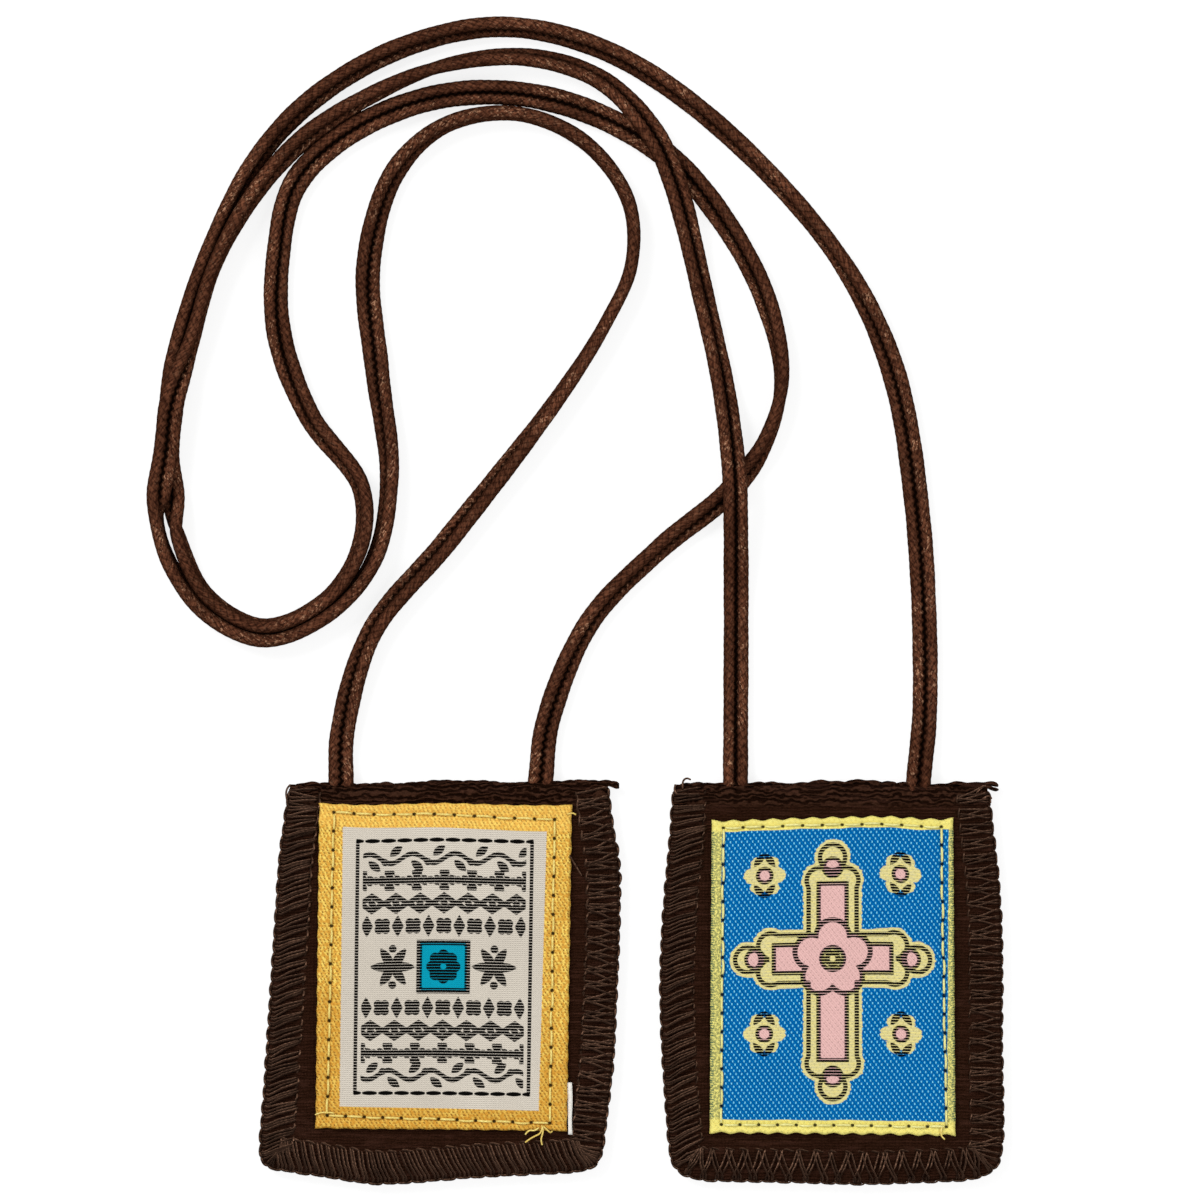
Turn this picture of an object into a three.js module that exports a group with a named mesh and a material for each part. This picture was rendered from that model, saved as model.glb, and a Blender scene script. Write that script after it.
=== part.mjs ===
// A brown wool scapular laid out flat: two small folded wool panels, each overlocked on three
// sides with a woven label sewn on its front, joined by two flat braided cords.
// Millimetres, +X to the right across them, +Y up the panels, +Z out of the surface it lies on.
// The origin is at the middle of the two panels, on the surface.

import * as THREE from 'three';

// Driving dimensions
const SEAM_GAP = 0.3;            // air between pieces that are sewn or laid against each other
const PANEL_DEPTH = 59.85;       // from the fold at the top to the lowest point of the foot edge
const FOLD_Y = 29.77;            // height of the fold line above the origin
const WOOL_THICK = 2.3;          // the two leaves of the folded cloth together
const WOOL_PUFF = 0.3;           // how much the wool swells between the label and the edging
const FOLD_RADIUS = 1.15;        // roundness of the fold seen from the side
const LABEL_THICK = 1.0;
const LABEL_BEVEL = 0.25;

// Overlock edging: a band of thread that wraps the cut edges of the cloth
const EDGING = {
  width: 4.0,                    // how far the stitches reach in from the edge
  height: 2.75,
  crown: 2.95,
  flange: 0.6,                   // thickness of the threads over and under the cloth
  web: 1.2,                      // thickness of the threads round the cut edge
  loopPitch: 2.2,
  loopDepth: 0.35,
};

// The cloth narrows to a tongue where the edging grips it
const TONGUE = {
  low: EDGING.flange + SEAM_GAP,
  high: WOOL_THICK - EDGING.flange + 0.1,
  edge: EDGING.web + SEAM_GAP,
  root: EDGING.width + SEAM_GAP,
  slope: 0.4,
  notch: 0.4,                    // groove between the two leaves at their cut edges
};

// Flat braid of two round lobes side by side
const CORD = { width: 3.75, thick: 1.8, steps: 80 };

// One row for each section across a panel: its distance down from the fold, and the distance of
// the left and right outer edges from the panel's middle line. A foot row gives how far the foot
// edge rises above the lowest point, at a distance across from the middle line. A fold row is the
// same for the fold line. Label rows are its corners, from its top left one round to the right;
// its foot is straight, so their distance down leaves out the rise of the panel's foot edge.
const PANELS = {
  left_panel: {
    middle: -27.58,
    sections: [
      { down: 0, left: 23.65, right: 23.9 },
      { down: 6.2, left: 24.5, right: 24.5 },
      { down: 11.4, left: 25.2, right: 25.5 },
      { down: 18.5, left: 25.6, right: 25.7 },
      { down: 26.7, left: 26.1, right: 25.5 },
      { down: 35, left: 26.6, right: 25.1 },
      { down: 43.2, left: 27.1, right: 24.8 },
      { down: 49.4, left: 27.5, right: 24.1 },
      { down: 54.6, left: 28, right: 23.5 },
      { down: 59.85, left: 28.15, right: 22.8 },
    ],
    foot: [
      { across: -28.15, rise: 2.9 },
      { across: -27, rise: 2.4 },
      { across: -17.5, rise: 1.05 },
      { across: -11.4, rise: 0 },
      { across: -5.2, rise: 0.3 },
      { across: 3.1, rise: 1.05 },
      { across: 11.3, rise: 1.5 },
      { across: 20.5, rise: 1.9 },
      { across: 22.8, rise: 3 },
    ],
    fold: [
      { across: -23.6, rise: 0 },
      { across: -12.6, rise: -0.35 },
      { across: -1, rise: 0.2 },
      { across: 11.3, rise: 0 },
      { across: 24, rise: 0.25 },
    ],
    label: {
      corners: [
        { across: -19.3, down: 2.6 },
        { across: 18.65, down: 3.15 },
        { across: 17.9, down: 51.9 },
        { across: -19.85, down: 51.45 },
      ],
      colour: '#e3ad4c',
    },
  },
  right_panel: {
    middle: 30.37,
    sections: [
      { down: 0, left: 24.1, right: 22.8 },
      { down: 2.8, left: 24.3, right: 23.2 },
      { down: 8.2, left: 24.6, right: 23.7 },
      { down: 14.4, left: 25.2, right: 24.45 },
      { down: 22.5, left: 25.8, right: 24.9 },
      { down: 30.7, left: 26.1, right: 25 },
      { down: 39, left: 25.95, right: 24.9 },
      { down: 47.2, left: 25.5, right: 25.05 },
      { down: 55.5, left: 24.9, right: 25.2 },
      { down: 59.85, left: 24.4, right: 24.6 },
    ],
    foot: [
      { across: -24.9, rise: 3 },
      { across: -23.6, rise: 1.7 },
      { across: -21, rise: 0.6 },
      { across: -12.8, rise: 0.45 },
      { across: -4.6, rise: 0.3 },
      { across: 3.6, rise: 0 },
      { across: 11.9, rise: 0.3 },
      { across: 20.1, rise: 0.6 },
      { across: 23.6, rise: 1.6 },
      { across: 25.2, rise: 3.2 },
    ],
    fold: [
      { across: -24.1, rise: 0 },
      { across: -16.5, rise: -0.35 },
      { across: -4.5, rise: 0.05 },
      { across: 7.8, rise: 0.25 },
      { across: 14.7, rise: -0.35 },
      { across: 22.8, rise: 0.1 },
    ],
    label: {
      corners: [
        { across: -18.5, down: 5.0 },
        { across: 17.7, down: 4.75 },
        { across: 18.05, down: 52.65 },
        { across: -18.8, down: 52.25 },
      ],
      colour: '#1f6fb5',
    },
  },
};

// Cord routes, chosen by hand: x, y, lift above lying on the surface, and turn of the braid about
// its own run in degrees, 0 flat and 90 on edge, counted up as its left edge rises.
const LEFT_CORD = [
  [-43.6, 30.1, 0.3, 0],
  [-43.4, 37.5, 0, -10],
  [-38.95, 52.6, 0, -42],
  [-27.8, 66.1, 0, -36],
  [-11.1, 87.6, 0, -72],
  [-3.9, 98.9, 0, -86],
  [-0.1, 107.6, 0, -88],
  [-0.6, 117.2, 0, -86],
  [-7.2, 126, 0, -82],
  [-17.4, 130.2, 0, -84],
  [-28.1, 128.4, 0, -76],
  [-35.6, 121.3, 0, -50],
  [-39.5, 107.5, 0, -20],
  [-38.15, 91.5, 0, 22],
  [-36.35, 75.8, 0, 58],
  [-38.7, 63.3, 0, 68],
  [-45.45, 55.2, 0, 79],
  [-55, 51.4, 0, 80],
  [-63.8, 55.3, 0, 80],
  [-69.2, 62.8, 0, 80],
  [-71.2, 69.7, 0.5, 84],
  [-70.65, 74.1, 2.5, 22],
  [-69.7, 79.4, 2.3, 4],
  [-68.8, 86.8, 2.5, 10],
  [-65.9, 96.1, 1.0, 76],
  [-62.4, 107.5, 0.95, 86],
  [-56.6, 118, 0.7, 68],
  [-49.3, 126.3, 0, 56],
  [-39, 133, 0, 72],
  [-27.7, 137.5, 0, 100],
  [-15.3, 138.6, 0, 122],
  [-4.6, 135.2, 0.2, 132],
  [2.8, 127.6, 2.2, 158],
  [6.2, 120.4, 2.3, 158],
  [11, 101.5, 0, 138],
  [13.8, 88.5, 0.6, 146],
  [15.3, 75.6, 3.5, 166],
  [15.5, 68.6, 2.5, 174],
  [15.6, 57, 0, 180],
  [15.5, 30.1, 0.3, 180],
];
const RIGHT_CORD = [
  [-13.7, 30.4, 0.3, 0],
  [-12.6, 39.2, 0, 18],
  [-6.4, 54, 0, 46],
  [4, 64.9, 0, 50],
  [14.9, 73.9, 0, 34],
  [20.1, 81.4, 0, 72],
  [22.4, 90.6, 0, 98],
  [19.9, 102.6, 0, 136],
  [13.7, 114.2, 0, 150],
  [5.5, 123.7, 0, 176],
  [-6.3, 130.5, 0, 180],
  [-18, 133.3, 0, 168],
  [-30.3, 132.5, 0, 176],
  [-42.4, 127.4, 0, 180],
  [-50.4, 119.8, 0, 172],
  [-52.95, 109.4, 0, 148],
  [-52.9, 97.4, 0, 180],
  [-48.3, 84.9, 0, 220],
  [-40.6, 74.2, 0, 240],
  [-40.8, 65.2, 0, 248],
  [-45.9, 57.5, 0, 259],
  [-55.2, 53.5, 0, 260],
  [-63.6, 58.05, 0, 260],
  [-68, 67.05, 0, 264],
  [-68.8, 73.2, 0, 340],
  [-69.7, 79.3, 0, 358],
  [-69.1, 85.8, 0, 366],
  [-67.95, 96.3, 0, 440],
  [-63.8, 108.8, 0, 442],
  [-56.6, 122.8, 0, 422],
  [-47.9, 132.3, 0, 410],
  [-34.7, 140, 0, 412],
  [-19.8, 143.2, 0, 416],
  [-4.8, 140, 0, 414],
  [10.8, 130.2, 0, 414],
  [30, 110, 0, 422],
  [38.7, 93, 0, 388],
  [42.7, 71.2, 0, 368],
  [43.9, 41.9, 0, 360],
  [42.9, 30.3, 0.6, 360],
];

const FINISHES = {
  wool: { color: '#2e1d15', roughness: 0.95, metalness: 0 },
  edging: { color: '#3a281e', roughness: 0.8, metalness: 0 },
  cord: { color: '#4a2a1b', roughness: 0.55, metalness: 0 },
};

// Value of one column of a table at a place between its rows
function between(rows, key, place, column) {
  const last = rows.length - 1;
  if (place <= rows[0][key]) return rows[0][column];
  if (place >= rows[last][key]) return rows[last][column];
  const next = rows.findIndex((row) => row[key] >= place);
  const [a, b] = [rows[next - 1], rows[next]];
  return THREE.MathUtils.mapLinear(place, a[key], b[key], a[column], b[column]);
}

// Places on a panel, from its distance down and its distance in from either outer edge
function foldAt(panel, across) {
  return FOLD_Y + between(panel.fold, 'across', across, 'rise');
}

function footAt(panel, across) {
  return FOLD_Y - PANEL_DEPTH + between(panel.foot, 'across', across, 'rise');
}

function fromLeft(panel, down, inset) {
  return -between(panel.sections, 'down', down, 'left') + inset;
}

function fromRight(panel, down, inset) {
  return between(panel.sections, 'down', down, 'right') - inset;
}

// Height of the wool's front: level under the label, swollen round it
function woolFront(panel, across, down) {
  const [topLeft, topRight, bottomRight, bottomLeft] = panel.label.corners;
  const straightDown = down * (1 - between(panel.foot, 'across', across, 'rise') / PANEL_DEPTH);
  const below = straightDown - Math.max(bottomLeft.down, bottomRight.down);
  const above = Math.min(topLeft.down, topRight.down) - down;
  const rightOf = across - Math.max(topRight.across, bottomRight.across);
  const leftOf = Math.min(topLeft.across, bottomLeft.across) - across;
  const beside = Math.max(rightOf, leftOf);
  const clear = Math.max(below, above, beside);
  return WOOL_THICK + WOOL_PUFF * THREE.MathUtils.smoothstep(clear, 0.4, 1.6);
}

// Closed body from an upper and a lower grid of points with the same rows and columns. The rim
// between them may have a middle line, given by a function of the point halfway and its side.
function closedSheet(upper, lower, rimAt) {
  const rows = upper.length;
  const columns = upper[0].length;
  const places = [];
  const faces = [];
  const add = (point) => places.push(point) - 1;
  const top = upper.map((row) => row.map(add));
  const base = lower.map((row) => row.map(add));
  for (let j = 0; j + 1 < rows; j += 1) {
    for (let i = 0; i + 1 < columns; i += 1) {
      const corner = (grid) => [grid[j][i], grid[j][i + 1], grid[j + 1][i], grid[j + 1][i + 1]];
      const [a, b, c, d] = corner(top);
      faces.push([a, c, b], [b, c, d]);
      const [e, f, g, h] = corner(base);
      faces.push([e, f, g], [f, h, g]);
    }
  }
  const rim = [];
  for (let i = 0; i < columns - 1; i += 1) rim.push([0, i, 'fold']);
  for (let j = 0; j < rows - 1; j += 1) rim.push([j, columns - 1, 'right']);
  for (let i = columns - 1; i > 0; i -= 1) rim.push([rows - 1, i, 'foot']);
  for (let j = rows - 1; j > 0; j -= 1) rim.push([j, 0, 'left']);
  const halfway = rim.map(([j, i, side]) => {
    const middle = upper[j][i].clone().lerp(lower[j][i], 0.5);
    return add(rimAt(middle, side));
  });
  rim.forEach(([j, i], n) => {
    const m = (n + 1) % rim.length;
    const [jm, im] = rim[m];
    const [t, u, p, q, l, k] = [top[j][i], top[jm][im], halfway[n], halfway[m], base[j][i], base[jm][im]];
    faces.push([t, u, p], [u, q, p], [p, q, l], [q, k, l]);
  });
  return bodyOf(places, faces);
}

// Closed body from rings of points that follow one another, capped at both ends
function loft(rings, section) {
  const size = rings[0].length;
  const faces = [];
  for (let n = 0; n + 1 < rings.length; n += 1) {
    for (let k = 0; k < size; k += 1) {
      const [a, b] = [n * size + k, n * size + ((k + 1) % size)];
      faces.push([a, b, a + size], [b, b + size, a + size]);
    }
  }
  const cap = THREE.ShapeUtils.triangulateShape(section, []);
  const end = (rings.length - 1) * size;
  cap.forEach(([a, b, c]) => faces.push([c, b, a], [end + a, end + b, end + c]));
  return bodyOf(rings.flat(), faces);
}

// Geometry of a closed body, turned so that its faces point out
function bodyOf(places, faces) {
  const volume = faces.reduce((sum, [a, b, c]) => {
    const across = new THREE.Vector3().crossVectors(places[b], places[c]);
    return sum + places[a].dot(across) / 6;
  }, 0);
  const turned = volume < 0 ? faces.map(([a, b, c]) => [a, c, b]) : faces;
  const geometry = new THREE.BufferGeometry();
  geometry.setAttribute('position', new THREE.Float32BufferAttribute(places.flatMap((p) => p.toArray()), 3));
  geometry.setIndex(turned.flat());
  geometry.computeVertexNormals();
  return geometry;
}

// Folded wool cloth of a panel: a round fold at the top, a tongue on the three cut edges
function woolGeometry(panel) {
  const { edge, root, slope } = TONGUE;
  const label = panel.label.corners;
  const insets = [edge, root, root + slope];
  const middle = panel.foot.map((row) => row.across).filter((across) => Math.abs(across) < 17.6);
  const labelLeft = (down) => THREE.MathUtils.mapLinear(down, label[0].down, label[3].down, label[0].across,
    label[3].across);
  const labelRight = (down) => THREE.MathUtils.mapLinear(down, label[1].down, label[2].down, label[1].across,
    label[2].across);
  const acrossAt = (down) => {
    const left = insets.map((inset) => fromLeft(panel, down, inset));
    const right = insets.map((inset) => fromRight(panel, down, inset)).reverse();
    const innerLeft = Math.max(left[2] + 0.3, labelLeft(down) - 0.5);
    const innerRight = Math.min(right[0] - 0.3, labelRight(down) + 0.5);
    const sides = [(left[2] + innerLeft) / 2, innerLeft];
    return [...left, ...sides, ...middle, innerRight, (right[0] + innerRight) / 2, ...right];
  };
  const foldRows = [0, 0.15, 0.5, 1].map((part) => part * FOLD_RADIUS);
  const labelTop = Math.min(label[0].down, label[1].down) - 0.4;
  const labelFoot = Math.max(label[2].down, label[3].down) + 0.4;
  const inLabel = panel.sections.map((row) => row.down).filter((down) => down > labelTop && down < labelFoot);
  const footRows = [root + slope, root, edge].map((inset) => PANEL_DEPTH - inset);
  const downs = [...foldRows, labelTop, ...inLabel, labelFoot, (labelFoot + footRows[0]) / 2, ...footRows];

  const place = (down, column, face) => {
    const across = acrossAt(down)[column];
    const part = down / PANEL_DEPTH;
    const y = THREE.MathUtils.lerp(foldAt(panel, across), footAt(panel, across), part);
    const columns = acrossAt(down).length;
    const gripped = column < 2 || column > columns - 3 || down > footRows[1] - 0.01;
    const full = face === 'front' ? woolFront(panel, across, down) : 0;
    const tongue = face === 'front' ? TONGUE.high : TONGUE.low;
    const flat = gripped ? tongue : full;
    const halfFold = WOOL_THICK / 2;
    const intoFold = Math.min(1, down / FOLD_RADIUS);
    const roundness = Math.max(0.25, Math.sqrt(1 - (1 - intoFold) ** 2));
    return new THREE.Vector3(panel.middle + across, y, halfFold + (flat - halfFold) * roundness);
  };
  const columnCount = acrossAt(0).length;
  const grid = (face) => downs.map((down) => Array.from({ length: columnCount }, (_, i) => place(down, i, face)));
  const inward = { fold: [0, 0.12], right: [-TONGUE.notch, 0], foot: [0, TONGUE.notch], left: [TONGUE.notch, 0] };
  const rimAt = (middle, side) => {
    const [dx, dy] = inward[side];
    return middle.add(new THREE.Vector3(dx, dy, 0));
  };
  return closedSheet(grid('front'), grid('back'), rimAt);
}

// Woven label, following the fold at its top and straight at its foot
function labelGeometry(panel) {
  const [topLeft, topRight, bottomRight, bottomLeft] = panel.label.corners;
  const spread = [0, 1, 2, 3, 4, 5, 6, 7, 8].map((n) => n / 8);
  const place = (u, v, lift) => {
    const left = THREE.MathUtils.lerp(topLeft.across, bottomLeft.across, v);
    const right = THREE.MathUtils.lerp(topRight.across, bottomRight.across, v);
    const upper = THREE.MathUtils.lerp(topLeft.down, topRight.down, u);
    const lower = THREE.MathUtils.lerp(bottomLeft.down, bottomRight.down, u);
    const across = THREE.MathUtils.lerp(left, right, u);
    const down = THREE.MathUtils.lerp(upper, lower, v);
    const y = THREE.MathUtils.lerp(foldAt(panel, across), FOLD_Y - PANEL_DEPTH, down / PANEL_DEPTH);
    return new THREE.Vector3(panel.middle + across, y, WOOL_THICK + SEAM_GAP + lift);
  };
  const width = topRight.across - topLeft.across;
  const height = bottomLeft.down - topLeft.down;
  const inset = (part, span) => THREE.MathUtils.clamp(part, LABEL_BEVEL / span, 1 - LABEL_BEVEL / span);
  const lower = spread.map((v) => spread.map((u) => place(u, v, 0)));
  const upper = spread.map((v) => spread.map((u) => place(inset(u, width), inset(v, height), LABEL_THICK)));
  const rimAt = (middle) => middle;
  return closedSheet(upper, lower, rimAt);
}

// Section of the edging: distance in from the outer edge, and height. It wraps the tongue.
function edgingSection() {
  const { width, height, crown, flange, web } = EDGING;
  return [
    [width, flange], [web, flange], [web, TONGUE.high + SEAM_GAP], [width, TONGUE.high + SEAM_GAP],
    [width, height - 0.1], [width * 0.45, crown], [0.5, height - 0.25], [0, height / 2], [0.5, 0], [width, 0],
  ].map(([inset, z]) => new THREE.Vector2(inset, z));
}

// Outer points step in between two thread loops, so that the edge is scalloped
function edgingRings(section, stations) {
  return stations.map(({ at, valley }) => section.map((corner) => {
    const outer = corner.x < EDGING.web ? 1 : 0;
    const inset = corner.x + (valley ? outer * EDGING.loopDepth : 0);
    return at(inset, corner.y);
  }));
}

function sideEdging(panel, side) {
  const section = edgingSection();
  const start = FOLD_RADIUS * 0.6;
  const end = PANEL_DEPTH - EDGING.width - 1.3 * SEAM_GAP;
  const count = 2 * Math.round((end - start) / EDGING.loopPitch);
  const stations = Array.from({ length: count + 1 }, (_, n) => {
    const down = THREE.MathUtils.lerp(start, end, n / count);
    const at = (inset, z) => {
      const across = side === 'left' ? fromLeft(panel, down, inset) : fromRight(panel, down, inset);
      const part = down / PANEL_DEPTH;
      const y = THREE.MathUtils.lerp(foldAt(panel, across), footAt(panel, across), part);
      return new THREE.Vector3(panel.middle + across, y, z);
    };
    return { at, valley: n % 2 === 0 };
  });
  return loft(edgingRings(section, stations), section);
}

function footEdging(panel) {
  const section = edgingSection();
  const corner = 0.4;
  const start = fromLeft(panel, PANEL_DEPTH, corner);
  const end = fromRight(panel, PANEL_DEPTH, corner);
  const count = 2 * Math.round((end - start) / EDGING.loopPitch);
  const stations = Array.from({ length: count + 1 }, (_, n) => {
    const along = THREE.MathUtils.lerp(start, end, n / count);
    const at = (inset, z) => {
      const down = PANEL_DEPTH - inset;
      const part = down / PANEL_DEPTH;
      const y = THREE.MathUtils.lerp(foldAt(panel, along), footAt(panel, along), part);
      return new THREE.Vector3(panel.middle + along, y, z);
    };
    return { at, valley: n % 2 === 0 };
  });
  return loft(edgingRings(section, stations), section);
}

// Two-lobed section of the braid, eight corners
function cordSection() {
  const { width, thick } = CORD;
  const lobe = width * 0.28;
  const groove = thick * 0.3;
  return [
    [width / 2, 0], [lobe, thick / 2], [0, groove], [-lobe, thick / 2],
    [-width / 2, 0], [-lobe, -thick / 2], [0, -groove], [lobe, -thick / 2],
  ].map(([x, y]) => new THREE.Vector2(x, y));
}

// Run of a cord over the surface: it rests on its lowest corner at whatever turn it has there
class CordRun extends THREE.CatmullRomCurve3 {
  constructor(route) {
    super(route.map(([x, y, lift]) => new THREE.Vector3(x, y, lift)));
    this.turns = route.map((row) => THREE.MathUtils.degToRad(row[3]));
  }

  turnAt(t) {
    const last = this.turns.length - 1;
    const place = t * last;
    const n = Math.min(Math.floor(place), last - 1);
    const pick = (k) => this.turns[THREE.MathUtils.clamp(k, 0, last)];
    const part = place - n;
    const rise = (k) => (pick(k + 1) - pick(k - 1)) / 2;
    const square = part * part;
    const cube = square * part;
    return pick(n) * (2 * cube - 3 * square + 1) + rise(n) * (cube - 2 * square + part)
      + pick(n + 1) * (3 * square - 2 * cube) + rise(n + 1) * (cube - square);
  }

  getPoint(t, target = new THREE.Vector3()) {
    super.getPoint(t, target);
    const turn = this.turnAt(t);
    const reach = cordSection().map((corner) => corner.x * Math.sin(turn) + corner.y * Math.cos(turn));
    target.z = Math.max(0, target.z) + Math.max(...reach);
    return target;
  }

  computeFrenetFrames(steps) {
    const up = new THREE.Vector3(0, 0, 1);
    const frames = { tangents: [], normals: [], binormals: [] };
    for (let n = 0; n <= steps; n += 1) {
      const u = n / steps;
      const turn = this.turnAt(this.getUtoTmapping(u));
      const tangent = this.getTangentAt(u).setZ(0).normalize();
      const left = new THREE.Vector3().crossVectors(up, tangent);
      frames.tangents.push(tangent);
      frames.normals.push(left.clone().multiplyScalar(Math.cos(turn)).addScaledVector(up, Math.sin(turn)));
      frames.binormals.push(left.multiplyScalar(-Math.sin(turn)).addScaledVector(up, Math.cos(turn)));
    }
    return frames;
  }
}

function cordGeometry(route) {
  const shape = new THREE.Shape(cordSection());
  return new THREE.ExtrudeGeometry(shape, { steps: CORD.steps, extrudePath: new CordRun(route) });
}

// The scapular
const scapular = new THREE.Group();

function addPiece(name, geometry, finish) {
  const piece = new THREE.Mesh(geometry, new THREE.MeshStandardMaterial(finish));
  piece.name = name;
  scapular.add(piece);
}

for (const [name, panel] of Object.entries(PANELS)) {
  addPiece(`${name}_wool`, woolGeometry(panel), FINISHES.wool);
  addPiece(`${name}_edging_left`, sideEdging(panel, 'left'), FINISHES.edging);
  addPiece(`${name}_edging_right`, sideEdging(panel, 'right'), FINISHES.edging);
  addPiece(`${name}_edging_foot`, footEdging(panel), FINISHES.edging);
  addPiece(`${name}_label`, labelGeometry(panel), { color: panel.label.colour, roughness: 0.6, metalness: 0 });
}
addPiece('left_cord', cordGeometry(LEFT_CORD), FINISHES.cord);
addPiece('right_cord', cordGeometry(RIGHT_CORD), FINISHES.cord);

export default scapular;
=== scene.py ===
"""A brown wool scapular laid flat: two folded wool panels with overlocked edges and woven labels,
joined by two flat braided cords. Sizes are in millimetres and are turned to metres on the meshes."""

import math

import bpy
import numpy as np
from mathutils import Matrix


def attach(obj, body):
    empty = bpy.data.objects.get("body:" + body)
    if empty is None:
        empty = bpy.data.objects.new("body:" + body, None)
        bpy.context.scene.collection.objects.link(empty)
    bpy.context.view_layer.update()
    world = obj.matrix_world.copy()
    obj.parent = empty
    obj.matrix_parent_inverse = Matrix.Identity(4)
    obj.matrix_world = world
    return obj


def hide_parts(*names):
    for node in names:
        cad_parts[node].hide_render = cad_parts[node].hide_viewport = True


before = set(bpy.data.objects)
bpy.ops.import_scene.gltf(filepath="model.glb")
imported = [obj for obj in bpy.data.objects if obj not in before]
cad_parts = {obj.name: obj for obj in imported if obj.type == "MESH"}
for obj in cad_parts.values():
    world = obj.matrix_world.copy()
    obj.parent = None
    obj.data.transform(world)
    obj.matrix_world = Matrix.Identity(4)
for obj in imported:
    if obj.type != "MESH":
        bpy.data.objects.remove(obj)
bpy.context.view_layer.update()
bpy.ops.object.select_all(action="DESELECT")

MM = 0.001

# Camera: straight above the table
VIEW_CENTRE = (-4.8, 57.375)
VIEW_WIDTH = 180
LENS = 200
SENSOR = 36
CAMERA_HEIGHT = VIEW_WIDTH * LENS / SENSOR

bpy.ops.object.camera_add(location=(VIEW_CENTRE[0] * MM, VIEW_CENTRE[1] * MM, CAMERA_HEIGHT * MM))
camera = bpy.context.object
camera.name = "camera"
camera.data.lens = LENS
camera.data.sensor_width = SENSOR
camera.data.clip_end = 10
bpy.context.scene.camera = camera


# Colours, as on a colour picker
def colour(code):
    parts = [int(code[i:i + 2], 16) / 255 for i in (1, 3, 5)]
    return tuple(p / 12.92 if p <= 0.04045 else ((p + 0.055) / 1.055) ** 2.4 for p in parts) + (1,)


class Value:
    """A number that changes over a surface. Plain arithmetic on it adds the Math nodes."""

    def __init__(self, paint, socket):
        self.paint = paint
        self.socket = socket

    def math(self, operation, *others):
        return self.paint.node("ShaderNodeMath", {"operation": operation}, self, *others)

    def __add__(self, other):
        return self.math("ADD", other)

    def __sub__(self, other):
        return self.math("SUBTRACT", other)

    def __mul__(self, other):
        return self.math("MULTIPLY", other)

    def __truediv__(self, other):
        return self.math("DIVIDE", other)

    def __rsub__(self, other):
        return self.paint.node("ShaderNodeMath", {"operation": "SUBTRACT"}, other, self)

    __radd__ = __add__
    __rmul__ = __mul__

    def fract(self):
        return self.math("FRACT")

    def size(self):
        return self.math("ABSOLUTE")

    def wave(self, pitch):
        """From 0 to 1 and back over each pitch."""
        return (self * (2 * math.pi / pitch)).math("SINE") * 0.5 + 0.5

    def below(self, limit, soft=0.06):
        """1 where the value is under the limit and 0 over it, with a soft edge."""
        ramp = (limit - self) / soft + 0.5
        return ramp.math("MAXIMUM", 0).math("MINIMUM", 1)

    def both(self, other):
        return self.math("MINIMUM", other)

    def either(self, other):
        return self.math("MAXIMUM", other)


class Paint:
    """One material and the nodes that paint it."""

    def __init__(self, name, roughness, specular):
        self.material = bpy.data.materials.new(name)
        self.material.use_nodes = True
        self.nodes = self.material.node_tree.nodes
        self.links = self.material.node_tree.links
        self.shader = self.nodes["Principled BSDF"]
        self.shader.inputs["Roughness"].default_value = roughness
        self.shader.inputs["Specular IOR Level"].default_value = specular

    def feed(self, socket, value):
        if isinstance(value, Value):
            self.links.new(value.socket, socket)
        else:
            socket.default_value = value

    def node(self, kind, settings, *values, out=0, **named):
        """A node of this kind, its settings set first, fed with values in order or by socket name."""
        node = self.nodes.new(kind)
        for key, value in settings.items():
            setattr(node, key, value)
        for socket, value in zip(node.inputs, values):
            self.feed(socket, value)
        for key, value in named.items():
            self.feed(node.inputs[key.replace("_", " ")], value)
        return Value(self, node.outputs[out])

    def mix(self, factor, first, second):
        """The first colour where factor is 0 and the second where it is 1."""
        node = self.nodes.new("ShaderNodeMix")
        node.data_type = "RGBA"
        self.feed(node.inputs[0], factor)
        self.feed(node.inputs[6], colour(first) if isinstance(first, str) else first)
        self.feed(node.inputs[7], colour(second) if isinstance(second, str) else second)
        return Value(self, node.outputs[2])

    def coats(self, base, *coats):
        """The base colour with others over it, each as thick as its factor."""
        for factor, cover in coats:
            base = self.mix(factor, base, cover)
        return base

    def spot(self):
        """The place on the object, in millimetres."""
        place = self.node("ShaderNodeTexCoord", {}, out=3)
        return self.node("ShaderNodeVectorMath", {"operation": "SCALE"}, Vector=place, Scale=1 / MM)

    def chart(self, name):
        """The piece's own map, along and across, in millimetres."""
        return self.node("ShaderNodeUVMap", {"uv_map": name})

    def parts(self, vector):
        return [self.node("ShaderNodeSeparateXYZ", {}, vector, out=n) for n in range(3)]

    def stretch(self, vector, *sizes):
        return self.node("ShaderNodeVectorMath", {"operation": "MULTIPLY"}, vector, sizes)

    def join(self, x, y, z=0.0):
        return self.node("ShaderNodeCombineXYZ", {}, x, y, z)

    def noise(self, vector, scale, detail=3.0, rough=0.5):
        return self.node("ShaderNodeTexNoise", {}, Vector=vector, Scale=scale, Detail=detail, Roughness=rough)

    def attribute(self, name):
        return self.node("ShaderNodeAttribute", {"attribute_name": name}, out=2)

    def finish(self, base, height, depth, roughness=None):
        """Paints the base colour and raises the surface by height times depth, in millimetres."""
        self.feed(self.shader.inputs["Base Color"], base)
        bump = self.node("ShaderNodeBump", {}, Strength=1.0, Distance=depth * MM, Height=height)
        self.feed(self.shader.inputs["Normal"], bump)
        if roughness is not None:
            self.feed(self.shader.inputs["Roughness"], roughness)
        return self.material


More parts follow.
